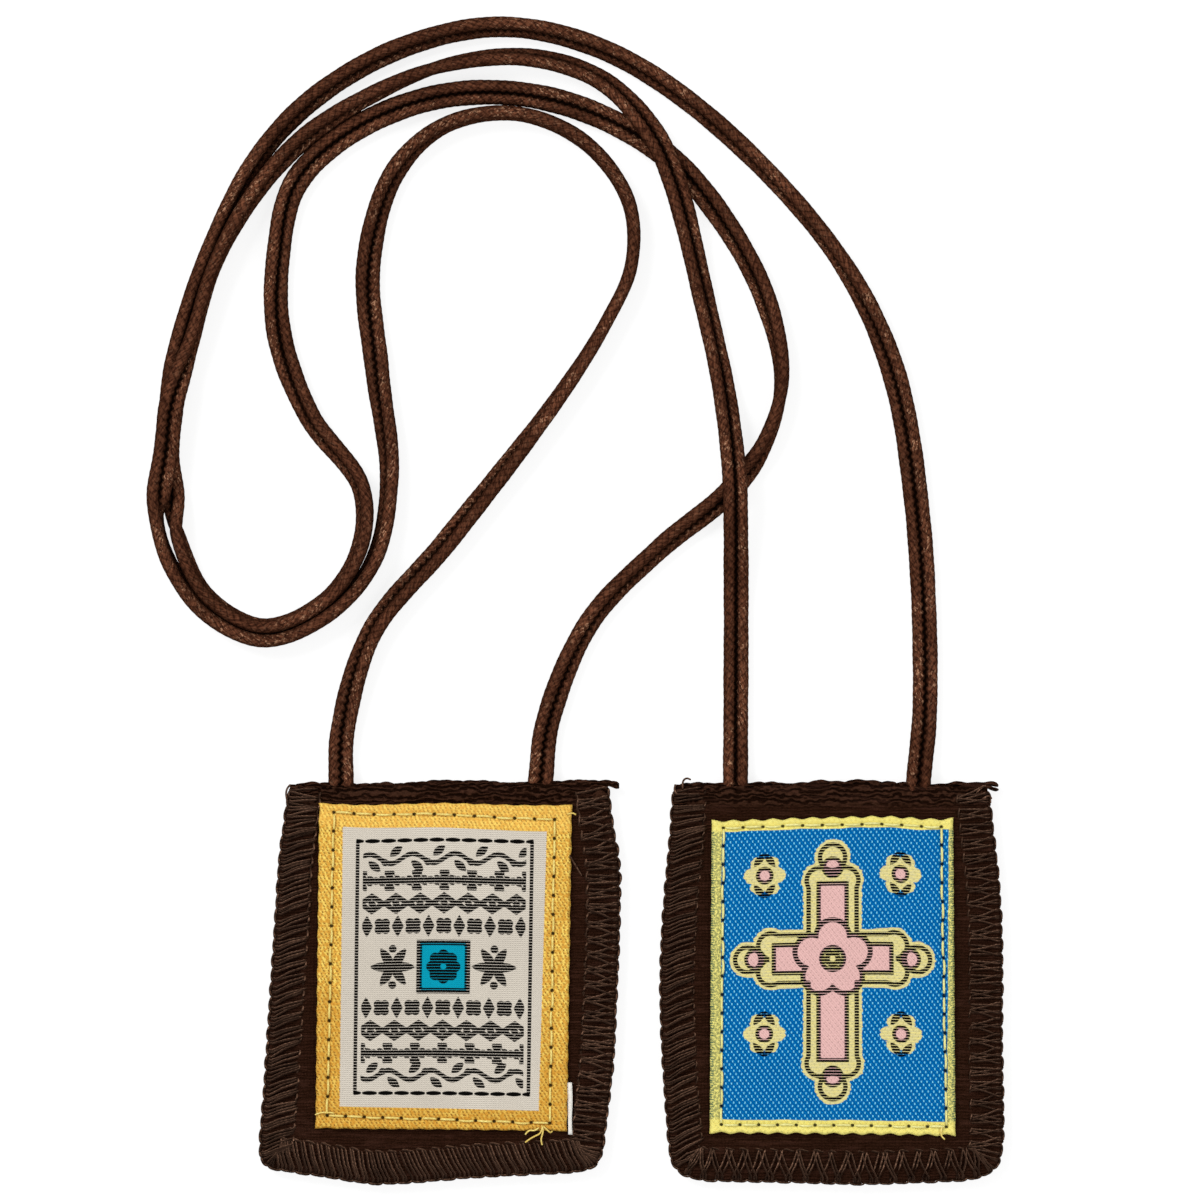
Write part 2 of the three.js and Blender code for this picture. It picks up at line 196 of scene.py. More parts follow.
def mesh_piece(name, points, faces, material, smooth=True):
    """A new object from points in millimetres."""
    mesh = bpy.data.meshes.new(name)
    mesh.from_pydata([tuple(p) for p in np.asarray(points) * MM], [], [tuple(f) for f in faces])
    mesh.validate()
    mesh.materials.append(material)
    mesh.polygons.foreach_set("use_smooth", [smooth] * len(mesh.polygons))
    piece = bpy.data.objects.new(name, mesh)
    bpy.context.collection.objects.link(piece)
    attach(piece, "root")
    return piece


def set_chart(piece, name, along, across):
    """Stores a map of the piece, in millimetres, on its faces' corners."""
    layer = piece.data.uv_layers.new(name=name)
    corners = np.empty(len(piece.data.loops), dtype=np.int32)
    piece.data.loops.foreach_get("vertex_index", corners)
    flat = np.stack([np.asarray(along)[corners], np.asarray(across)[corners]], axis=1)
    layer.data.foreach_set("uv", flat.astype(np.float32).ravel())


def set_attribute(piece, name, values):
    layer = piece.data.attributes.new(name, "FLOAT", "POINT")
    layer.data.foreach_set("value", np.asarray(values, dtype=np.float32).ravel())


# Braided cords

CORD_WIDTH = 3.75
CORD_THICK = 1.95
GROOVE = 0.2              # half thickness left at the groove between the two lobes
LOBE_HALF = 0.91          # half width of one lobe
LOBE_CENTRE = CORD_WIDTH / 2 - LOBE_HALF
TOOTH_PITCH = 1.2         # one crossing of the braid's strands
CORD_STEP = 0.3           # distance between two rings of the mesh
TUCK = 1.6                # length of cord hidden in the fold of the wool
ROUTE_PARTS = 40          # places worked out between two points of a route
TOOTH = 0.24              # how far the strands reach over the groove

# x, y, lift above lying on the surface, and turn about its own run in degrees
LEFT_CORD = [
    (-43.6, 30.1, 0.3, 0), (-43.4, 37.5, 0, -10), (-38.95, 52.6, 0, -42), (-27.8, 66.1, 0, -36),
    (-11.1, 87.6, 0, -72), (-3.9, 98.9, 0, -86), (-0.1, 107.6, 0, -88), (-0.6, 117.2, 0, -86),
    (-7.2, 126, 0, -82), (-17.4, 130.2, 0, -84), (-28.1, 128.4, 0, -76), (-35.6, 121.3, 0, -50),
    (-39.5, 107.5, 0, -20), (-38.15, 91.5, 0, 22), (-36.35, 75.8, 0, 58),
    (-38.7, 63.3, 0, 68), (-45.45, 55.2, 0, 79), (-55, 51.4, 0, 80), (-63.8, 55.3, 0, 80),
    (-69.2, 62.8, 0, 80), (-71.2, 69.7, 0.5, 84), (-70.65, 74.1, 2.5, 22), (-69.7, 79.4, 2.3, 4),
    (-68.8, 86.8, 2.5, 10), (-65.9, 96.1, 1.0, 76), (-62.4, 107.5, 0.95, 86), (-56.6, 118, 0.7, 68),
    (-49.3, 126.3, 0, 56), (-39, 133, 0, 72), (-27.7, 137.5, 0, 100), (-15.3, 138.6, 0, 122),
    (-4.6, 135.2, 0.2, 132), (2.8, 127.6, 2.2, 158), (6.2, 120.4, 2.3, 158), (11, 101.5, 0, 138),
    (13.8, 88.5, 0.6, 146), (15.3, 75.6, 3.5, 166), (15.5, 68.6, 2.5, 174), (15.6, 57, 0, 180),
    (15.5, 30.1, 0.3, 180),
]
RIGHT_CORD = [
    (-13.7, 30.4, 0.3, 0), (-12.6, 39.2, 0, 18), (-6.4, 54, 0, 46), (4, 64.9, 0, 50),
    (14.9, 73.9, 0, 34), (20.1, 81.4, 0, 72), (22.4, 90.6, 0, 98), (19.9, 102.6, 0, 136),
    (13.7, 114.2, 0, 150), (5.5, 123.7, 0, 176), (-6.3, 130.5, 0, 180), (-18, 133.3, 0, 168),
    (-30.3, 132.5, 0, 176), (-42.4, 127.4, 0, 180), (-50.4, 119.8, 0, 172), (-52.95, 109.4, 0, 148),
    (-52.9, 97.4, 0, 180), (-48.3, 84.9, 0, 220), (-40.6, 74.2, 0, 240), (-40.8, 65.2, 0, 248),
    (-45.9, 57.5, 0, 259), (-55.2, 53.5, 0, 260), (-63.6, 58.05, 0, 260), (-68, 67.05, 0, 264),
    (-68.8, 73.2, 0, 340), (-69.7, 79.3, 0, 358), (-69.1, 85.8, 0, 366), (-67.95, 96.3, 0, 440),
    (-63.8, 108.8, 0, 442), (-56.6, 122.8, 0, 422), (-47.9, 132.3, 0, 410), (-34.7, 140, 0, 412),
    (-19.8, 143.2, 0, 416), (-4.8, 140, 0, 414), (10.8, 130.2, 0, 414), (30, 110, 0, 422),
    (38.7, 93, 0, 388), (42.7, 71.2, 0, 368), (43.9, 41.9, 0, 360), (42.9, 30.3, 0.6, 360),
]


def cord_section(points_a_lobe=7):
    """Corners of the braid's section: x across it, y through it."""
    angles = np.radians(np.linspace(0, 158, points_a_lobe))
    lobe = np.stack([LOBE_CENTRE + LOBE_HALF * np.cos(angles), CORD_THICK / 2 * np.sin(angles)], axis=1)
    top = np.concatenate([lobe, [[0, GROOVE]], (lobe * [-1, 1])[::-1]])
    under = (top[1:-1] * [1, -1])[::-1]
    return np.concatenate([top, under])


def resting_height(turn):
    """Height of the braid's centre line when it rests on its lowest edge at this turn."""
    section = cord_section()
    return np.max(section[:, 0] * np.sin(turn)[:, None] + section[:, 1] * np.cos(turn)[:, None], axis=1)


def cubic(start, end, rise, fall, parts):
    """A smooth curve from start to end with these slopes at both."""
    return (start + rise * parts + (3 * (end - start) - 2 * rise - fall) * parts ** 2
            + (2 * (start - end) + rise + fall) * parts ** 3)


def run_through(route):
    """Closely spaced places along the route and the turn at each, by the same smooth curve as the CAD's."""
    points = np.array([row[:3] for row in route], dtype=float)
    turns = np.radians([row[3] for row in route])
    padded = np.concatenate([[2 * points[0] - points[1]], points, [2 * points[-1] - points[-2]]])
    spans = np.sum(np.diff(padded, axis=0) ** 2, axis=1) ** 0.25
    edge_turns = np.concatenate([[turns[0]], turns, [turns[-1]]])
    parts = np.linspace(0, 1, ROUTE_PARTS, endpoint=False)[:, None]
    places, angles = [], []
    for n in range(len(points) - 1):
        before, start, end, after = padded[n:n + 4]
        a, b, c = spans[n:n + 3]
        rise = ((start - before) / a - (end - before) / (a + b) + (end - start) / b) * b
        fall = ((end - start) / b - (after - start) / (b + c) + (after - end) / c) * b
        places.append(cubic(start, end, rise, fall, parts))
        t0, t1, t2, t3 = edge_turns[n:n + 4]
        angles.append(cubic(t1, t2, (t2 - t0) / 2, (t3 - t1) / 2, parts)[:, 0])
    places = np.concatenate(places + [points[-1:]])
    angles = np.concatenate(angles + [turns[-1:]])
    places[:, 2] = np.maximum(places[:, 2], 0) + resting_height(angles)
    return places, angles


def cord_line(route):
    """The cord's centre line at even steps, with its turn and the length run so far."""
    places, turns = run_through(route)
    start = places[0] - TUCK * np.array([0, 1, 0])
    end = places[-1] - TUCK * np.array([0, 1, 0])
    places = np.concatenate([[start], places, [end]])
    turns = np.concatenate([turns[:1], turns, turns[-1:]])
    lengths = np.concatenate([[0], np.cumsum(np.linalg.norm(np.diff(places, axis=0), axis=1))])
    along = np.linspace(0, lengths[-1], int(lengths[-1] / CORD_STEP) + 1)
    line = np.stack([np.interp(along, lengths, places[:, k]) for k in range(3)], axis=1)
    return line, np.interp(along, lengths, turns), along


def braid(name, route, node, material):
    line, turns, along = cord_line(route)
    tangent = np.gradient(line, axis=0)
    tangent[:, 2] = 0
    tangent /= np.linalg.norm(tangent, axis=1)[:, None]
    left = np.stack([-tangent[:, 1], tangent[:, 0], np.zeros(len(line))], axis=1)
    up = np.array([0, 0, 1])
    width_way = left * np.cos(turns)[:, None] + up * np.sin(turns)[:, None]
    thick_way = -left * np.sin(turns)[:, None] + up * np.cos(turns)[:, None]
    section = cord_section()
    count = len(section)
    phase = (along / TOOTH_PITCH)[:, None]
    reach = np.abs(section[:, 0])[None, :]
    # The strands cross at the groove in teeth, and the braid's thickness varies a little along it
    tooth = 2 * np.abs((phase % 1) * 2 - 1) - 1
    near_groove = np.clip(1 - reach / 0.8, 0, 1)
    shift = TOOTH * tooth * near_groove
    swell = 1 + 0.012 * np.sin(2 * np.pi * phase) + 0.018 * np.sin(phase * 0.9) * np.sin(phase * 0.37 + 1)
    x = section[:, 0] * swell + shift
    y = section[:, 1] * swell
    rings = (line[:, None, :] + x[..., None] * width_way[:, None, :] + y[..., None] * thick_way[:, None, :])
    size = len(line)
    ring = np.arange(count)
    after = np.roll(ring, -1)
    faces = [(n * count + a, n * count + b, (n + 1) * count + b, (n + 1) * count + a)
             for n in range(size - 1) for a, b in zip(ring, after)]
    faces.append(tuple(ring[::-1]))
    faces.append(tuple((size - 1) * count + ring))
    piece = mesh_piece(name, rings.reshape(-1, 3), [f[::-1] for f in faces], material)
    # Across the map runs round each lobe from its upper groove, below zero on the left lobe
    from_centre = np.arctan2(section[:, 1], np.abs(section[:, 0]) - LOBE_CENTRE)
    around = np.where(section[:, 0] < 0, -1, 1) * (math.pi - from_centre) * LOBE_HALF
    set_chart(piece, "braid", np.repeat(along, count), np.tile(around, size))
    set_attribute(piece, "reach", np.tile(np.abs(section[:, 0]), size))
    # Which way round its lobe each point lies, 1 at the top of the lying cord and -1 at its underside; the
    # paint darkens the sides with it as painted shade
    out = np.stack([np.sign(section[:, 0]) * np.cos(from_centre), np.sin(from_centre)], axis=1)
    facing_up = out[None, :, 0] * width_way[:, None, 2] + out[None, :, 1] * thick_way[:, None, 2]
    set_attribute(piece, "facing_up", facing_up)
    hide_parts(node)
    print(name, "is", round(float(along[-1]), 1), "mm long")


def braid_paint():
    """Satin threads that run outwards along each lobe, with painted shade between the lobes, in the gaps
    between strands, down their sides and on one lobe, and painted highlights as small specks where they turn
    over the top."""
    paint = Paint("braided_cord", 0.45, specular=0.0)
    along, across, _ = paint.parts(paint.chart("braid"))
    around = across.size()
    lobe = across.below(0, 0.05)
    lean = along * 0.9 - around * 0.44
    beside = along * 0.44 + around * 0.9 + lobe * 7.3
    fibre = paint.noise(paint.join(lean * 0.5, beside * 1.5), 2.0, 4.0, 0.65)
    wisps = paint.noise(paint.join(lean * 0.9, beside * 1.9, 4.0), 1.9, 2.0, 0.6)
    strand = ((along / TOOTH_PITCH - around * 0.8 + lobe * 0.5).fract() - 0.5).size() * 2
    # Painted shade in the gaps between the strands
    gap = (1 - strand.below(0.8, 0.35)) * fibre.below(0.62, 0.3)
    patches = paint.noise(paint.spot(), 0.12, 2.0)
    # Painted shade in the groove between the two lobes
    groove = (paint.attribute("reach") + (strand - 0.5) * 0.26).below(0.3, 0.3)
    # Painted highlights: glints along the fibres, mostly on the lit lobe
    glints = (1 - wisps.below(0.61, 0.06)) * (1 - paint.noise(paint.spot(), 0.35, 2.0).below(0.48, 0.15))
    # One lobe painted lit and the other in painted shade, the two swapping in long patches
    lit_side_noise = paint.noise(paint.spot(), 0.035, 1.0).below(0.5, 0.04)
    lit_lobe = lit_side_noise * lobe + (1 - lit_side_noise) * (1 - lobe)
    # Painted shade down the sides of the lobes that face away from the top
    sides = paint.attribute("facing_up").below(0.72, 0.5)
    base = paint.mix(fibre.below(0.52, 0.22), "#7e4e37", "#3b2016")
    base = paint.coats(
        base, ((1 - lit_lobe) * 0.22, "#2c150d"), (glints * (lit_lobe * 0.62 + 0.12), "#cc9a78"),
        (gap * 0.55, "#170a05"), (sides * 0.62, "#1e0d07"), (patches.below(0.5, 0.3) * 0.35, "#221008"),
        (groove * 0.9, "#0a0402"))
    height = fibre * 1.2 + wisps * 0.3 - gap * 0.5 - groove * 0.6
    return paint.finish(base, height, 0.14, fibre * 0.2 + 0.3)


cord_material = braid_paint()
braid("left_cord_braid", LEFT_CORD, "left_cord", cord_material)
braid("right_cord_braid", RIGHT_CORD, "right_cord", cord_material)


# Panels: the same tables as the CAD's, in millimetres

FOLD_Y = 29.77
PANEL_DEPTH = 59.85
WOOL_THICK = 2.3
WOOL_PUFF = 0.3
FOLD_RADIUS = 1.15
BAND = 4.9                # reach of the overlock stitches in from the edge
BAND_LOW = 0.38           # room for the threads under the wool
BAND_HIGH = 2.42          # and the wool's height under the threads over it
WOOL_INSET = 0.08         # from the outline of the stitches to the cut edge of the wool
SCALLOP_PITCH = 2.2       # the locking threads draw the edge in between every two loops
SCALLOP_DEPTH = 0.28
RIM_STEP = 0.25           # between two places of the outline
RIM_REACH = 9             # neighbours on both sides that each of those places is smoothed with
LABEL_Z = 2.5
LABEL_THICK = 0.75
LABEL_STEP = 0.25         # between two points of the label's mesh


def smooth_table(place, keys, values, reach=1.8):
    """Value of a table between its rows, rounded off at each row."""
    offsets = np.linspace(-reach, reach, 7)
    return np.mean([np.interp(np.asarray(place) + o, keys, values) for o in offsets], axis=0)


class Panel:
    """One folded wool panel, by its distance across from its middle line and down from its fold. Sections
    have rows of down, half width left and half width right. Foot and fold have rows of across and rise. The
    label's corners are across and down, from its top left one round by the right."""

    def __init__(self, name, middle, sections, foot, fold, label):
        self.name = name
        self.middle = middle
        self.sections = np.array(sections, dtype=float)
        self.foot_table = np.array(foot, dtype=float)
        self.fold_table = np.array(fold, dtype=float)
        self.corners = np.array(label, dtype=float)
        self.rim, self.inward, self.run = self.outline()

    def left(self, down):
        return -smooth_table(down, self.sections[:, 0], self.sections[:, 1])

    def right(self, down):
        return smooth_table(down, self.sections[:, 0], self.sections[:, 2])

    def foot_rise(self, across):
        return smooth_table(across, *self.foot_table.T, reach=1.0)

    def y(self, across, down, rise=None):
        rise = self.foot_rise(across) if rise is None else rise
        fold = FOLD_Y + smooth_table(across, *self.fold_table.T)
        return fold + (FOLD_Y - PANEL_DEPTH + rise - fold) * np.asarray(down) / PANEL_DEPTH

    def outline(self):
        """Places along the overlocked edge from the fold down the left, along the foot and up the right, the
        way inwards at each, and the length run so far."""
        downs = np.linspace(0, PANEL_DEPTH, 240)
        left, right = self.left(downs), self.right(downs)
        foot = np.linspace(left[-1], right[-1], 200)
        sides = [np.stack([left, self.y(left, downs)], axis=1),
                 np.stack([foot, self.y(foot, PANEL_DEPTH)], axis=1)[1:-1],
                 np.stack([right, self.y(right, downs)], axis=1)[::-1]]
        points = np.concatenate(sides)
        points[:, 0] += self.middle
        lengths = np.concatenate([[0], np.cumsum(np.linalg.norm(np.diff(points, axis=0), axis=1))])
        run = np.arange(0, lengths[-1], RIM_STEP)
        points = np.stack([np.interp(run, lengths, points[:, k]) for k in range(2)], axis=1)
        padded = np.pad(points, ((RIM_REACH, RIM_REACH), (0, 0)), mode="reflect", reflect_type="odd")
        kernel = np.ones(2 * RIM_REACH + 1) / (2 * RIM_REACH + 1)
        points = np.stack([np.convolve(padded[:, k], kernel, mode="valid") for k in range(2)], axis=1)
        along = np.gradient(points, axis=0)
        along /= np.linalg.norm(along, axis=1)[:, None]
        return points, np.stack([-along[:, 1], along[:, 0]], axis=1), run

    def edge(self, run, inset, z):
        """Place at a length run along the edge, this far in from it and this high."""
        x, y = (np.interp(run, self.run, self.rim[:, k]) for k in range(2))
        dx, dy = (np.interp(run, self.run, self.inward[:, k]) for k in range(2))
        size = np.hypot(dx, dy)
        height = np.broadcast_to(z, np.shape(x)) * 1.0
        return np.stack([x + inset * dx / size, y + inset * dy / size, height], axis=-1)

    def from_edge(self, points):
        """How far each place lies inside the outline, the way inwards there and the length run along it."""
        away = points[:, None, :] - self.rim[None, :, :]
        nearest = np.argmin(np.sum(away ** 2, axis=2), axis=1)
        ways = self.inward[nearest]
        inside = np.sum(away[np.arange(len(points)), nearest] * ways, axis=1)
        return inside, ways, self.run[nearest]

    def label_frame(self, u, v):
        """Across and down at parts u and v of the label's width and height."""
        top_left, top_right, low_right, low_left = self.corners
        left = top_left[0] + (low_left[0] - top_left[0]) * v
        right = top_right[0] + (low_right[0] - top_right[0]) * v
        upper = top_left[1] + (top_right[1] - top_left[1]) * u
        lower = low_left[1] + (low_right[1] - low_left[1]) * u
        return left + (right - left) * u, upper + (lower - upper) * v

    def label_size(self):
        """The label's mean width and height."""
        top_left, top_right, low_right, low_left = self.corners
        width = (top_right[0] - top_left[0] + low_right[0] - low_left[0]) / 2
        height = (low_left[1] - top_left[1] + low_right[1] - top_right[1]) / 2
        return width, height

    def place(self, across, down, z):
        return np.stack([self.middle + across, self.y(across, down), z], axis=-1)

    def label_place(self, across, down, z):
        """The same for the label, which is straight at its foot."""
        return np.stack([self.middle + across, self.y(across, down, 0), z], axis=-1)


PANELS = [
    Panel(
        "left_panel", -27.58,
        sections=[(0, 23.65, 23.9), (6.2, 24.5, 24.5), (11.4, 25.2, 25.5), (18.5, 25.6, 25.7),
                  (26.7, 26.1, 25.5), (35, 26.6, 25.1), (43.2, 27.1, 24.8), (49.4, 27.5, 24.1),
                  (54.6, 28, 23.5), (59.85, 28.15, 22.8)],
        foot=[(-28.15, 2.9), (-27, 2.4), (-17.5, 1.05), (-11.4, 0), (-5.2, 0.3), (3.1, 1.05), (11.3, 1.5),
              (20.5, 1.9), (22.8, 3)],
        fold=[(-23.6, 0), (-12.6, -0.35), (-1, 0.2), (11.3, 0), (24, 0.25)],
        label=[(-19.3, 2.6), (18.65, 3.15), (17.9, 51.9), (-19.85, 51.45)],
    ),
    Panel(
        "right_panel", 30.37,
        sections=[(0, 24.1, 22.8), (2.8, 24.3, 23.2), (8.2, 24.6, 23.7), (14.4, 25.2, 24.45),
                  (22.5, 25.8, 24.9), (30.7, 26.1, 25), (39, 25.95, 24.9), (47.2, 25.5, 25.05),
                  (55.5, 24.9, 25.2), (59.85, 24.4, 24.6)],
        foot=[(-24.9, 3), (-23.6, 1.7), (-21, 0.6), (-12.8, 0.45), (-4.6, 0.3), (3.6, 0), (11.9, 0.3),
              (20.1, 0.6), (23.6, 1.6), (25.2, 3.2)],
        fold=[(-24.1, 0), (-16.5, -0.35), (-4.5, 0.05), (7.8, 0.25), (14.7, -0.35), (22.8, 0.1)],
        label=[(-18.5, 5.0), (17.7, 4.75), (18.05, 52.65), (-18.8, 52.25)],
    ),
]


def step(value, start, end):
    part = np.clip((value - start) / (end - start), 0, 1)
    return part * part * (3 - 2 * part)


def grid_faces(rows, columns):
    """Faces of a grid of points numbered row by row."""
    j, i = np.meshgrid(np.arange(rows - 1), np.arange(columns - 1), indexing="ij")
    a = (j * columns + i).ravel()
    return np.stack([a, a + columns, a + columns + 1, a + 1], axis=1)


def closed_sheet(upper, lower):
    """Points and faces of a body between two grids that share rows and columns."""
    rows, columns, _ = upper.shape
    count = rows * columns
    top = grid_faces(rows, columns)
    under = top[:, ::-1] + count
    ring = np.concatenate([np.arange(columns), np.arange(1, rows) * columns + columns - 1,
                           (rows - 1) * columns + np.arange(columns - 2, -1, -1),
                           np.arange(rows - 2, 0, -1) * columns])
    after = np.roll(ring, -1)
    wall = np.stack([ring, after, after + count, ring + count], axis=1)
    points = np.concatenate([upper.reshape(-1, 3), lower.reshape(-1, 3)])
    return points, [tuple(f) for f in np.concatenate([top, under, wall])]


def ripple(points, size, seed):
    """Soft unevenness from a few crossed waves, between -1 and 1."""
    angles = np.array([0.3, 1.7, 2.6, 4.1, 5.2]) + seed
    lengths = size * np.array([1, 0.73, 0.61, 0.47, 0.38])
    total = sum(np.sin(2 * np.pi * (points[..., 0] * np.cos(a) + points[..., 1] * np.sin(a)) / s + 3 * a)
                for a, s in zip(angles, lengths))
    return total / 3.2


def crowded(start, end, step_size, edge):
    """Even places from start to end, with extra ones close to both ends."""
    extra = np.array([0, 0.12, 0.3, 0.55, 0.9]) * edge
    inner = np.arange(start + 1.4 * edge, end - 1.4 * edge, step_size)
    return np.concatenate([start + extra, inner, (end - extra)[::-1]])


def wool(panel, material):
    downs = crowded(0, 1, 0.012, 0.02)
    parts = crowded(0, 1, 0.014, 0.024)
    v, u = np.meshgrid(downs * PANEL_DEPTH, parts, indexing="ij")
    left, right = panel.left(v), panel.right(v)
    side = left + (right - left) * u
    points = panel.place(side, v, np.zeros_like(v)).reshape(-1, 3)
    inside, ways, runs = panel.from_edge(points[:, :2])
    from_fold = v.ravel()
    shift = np.clip(WOOL_INSET - inside, 0, None)
    inside = np.maximum(inside, WOOL_INSET)
    scallop = SCALLOP_DEPTH * (1 + np.cos(2 * np.pi * runs / SCALLOP_PITCH)) / 2
    shift -= scallop * np.exp(-(inside / 0.5) ** 2) * step(from_fold, 0.5, 3)
    points[:, :2] += shift[:, None] * ways
    # How far each place is clear of the label, which presses the wool down
    top_left, top_right, low_right, low_left = panel.corners
    across = side.ravel()
    straight_down = from_fold * (1 - panel.foot_rise(across) / PANEL_DEPTH)
    below_label = straight_down - max(low_right[1], low_left[1])
    above_label = min(top_left[1], top_right[1]) - from_fold
    clear = np.max([across - top_right[0], low_left[0] - across, below_label, above_label], axis=0)
    middle = WOOL_THICK / 2
    high = WOOL_THICK + WOOL_PUFF * step(clear, 0.2, 1.8) + 0.12 * ripple(points, 9, 0.4) * step(clear, 0, 1)
    band = 1 - step(inside, BAND - 1.2, BAND + 0.3)
    away_from_fold = step(from_fold, 0.2, 2.5)
    high = high + (BAND_HIGH - high) * band * away_from_fold
    low = BAND_LOW * band * away_from_fold
    round_edge = np.sqrt(1 - np.clip(1 - (inside - WOOL_INSET) / 0.8, 0, 1) ** 2) * 0.9 + 0.1
    round_fold = np.sqrt(1 - np.clip(1 - from_fold / FOLD_RADIUS, 0, 1) ** 2) * 0.97 + 0.03
    roundness = np.minimum(round_edge, round_fold)
    upper, lower = points.copy(), points.copy()
    upper[:, 2] = middle + (high - middle) * roundness
    lower[:, 2] = middle + (low - middle) * roundness
    grid = (*v.shape, 3)
    sheet = closed_sheet(upper.reshape(grid), lower.reshape(grid))
    piece = mesh_piece(f"{panel.name}_cloth", *sheet, material)
    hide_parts(f"{panel.name}_wool")


def threads(name, paths, radius, material, sides=6, shade=(0, 1)):
    """Round threads along paths, one mesh for all. Each path's points are in millimetres. Across the map runs
    down from the thread's crown on both sides, as an angle. Each thread is darker than the lightest by a
    part drawn from the range of shade."""
    ring = np.linspace(0, 2 * np.pi, sides, endpoint=False)
    points, faces, along, around, shades = [], [], [], [], []
    rng = np.random.default_rng(len(paths))
    base = 0
    for path in paths:
        path = np.asarray(path, dtype=float)
        size = len(path)
        way = np.gradient(path, axis=0)
        way /= np.maximum(np.linalg.norm(way, axis=1), 1e-9)[:, None]
        # A side direction that never lines up with the path
        helper = np.array([0.13, 0.21, 0.97]) if abs(way[:, 2]).max() < 0.93 else np.array([0.31, 0.9, 0.11])
        side = np.cross(way, helper)
        side /= np.linalg.norm(side, axis=1)[:, None]
        other = np.cross(way, side)
        thick = np.full(size, radius)
        thick[[0, -1]] *= 0.5
        tube = (path[:, None, :] + thick[:, None, None] * (np.cos(ring)[None, :, None] * side[:, None, :]
                + np.sin(ring)[None, :, None] * other[:, None, :]))
        points.append(tube.reshape(-1, 3))
        run = np.concatenate([[0], np.cumsum(np.linalg.norm(np.diff(path, axis=0), axis=1))])
        along.append(np.repeat(run, sides))
        shades.append(np.full(size * sides, rng.uniform(*shade)))
        around.append(np.tile(np.abs((ring - math.pi / 2) % (2 * math.pi) - math.pi), size))
        for n in range(base, base + (size - 1) * sides, sides):
            for k in range(sides):
                m = (k + 1) % sides
                faces.append((n + k, n + m, n + sides + m, n + sides + k))
        faces.append(tuple(base + k for k in range(sides))[::-1])
        faces.append(tuple(base + (size - 1) * sides + k for k in range(sides)))
        base += size * sides
    piece = mesh_piece(name, np.concatenate(points), faces, material)
    set_chart(piece, "thread", np.concatenate(along), np.concatenate(around))
    set_attribute(piece, "shade", np.concatenate(shades))
    return piece


def wobble(rng, size):
    return rng.uniform(-size, size)


# Along the edge: from strand to strand on each side, and from needle hole to needle hole
LEFT_PITCH = 0.56
FOOT_PITCH = 0.5
RIGHT_PITCH = 0.54
BUNCH_PITCH = 1.9
ZIGZAG_PITCH = 2.3
FIRST_STRAND = 0.8        # from the fold to the first strand
CORNER_REACH = 3          # the foot's stitches begin this far up the sides


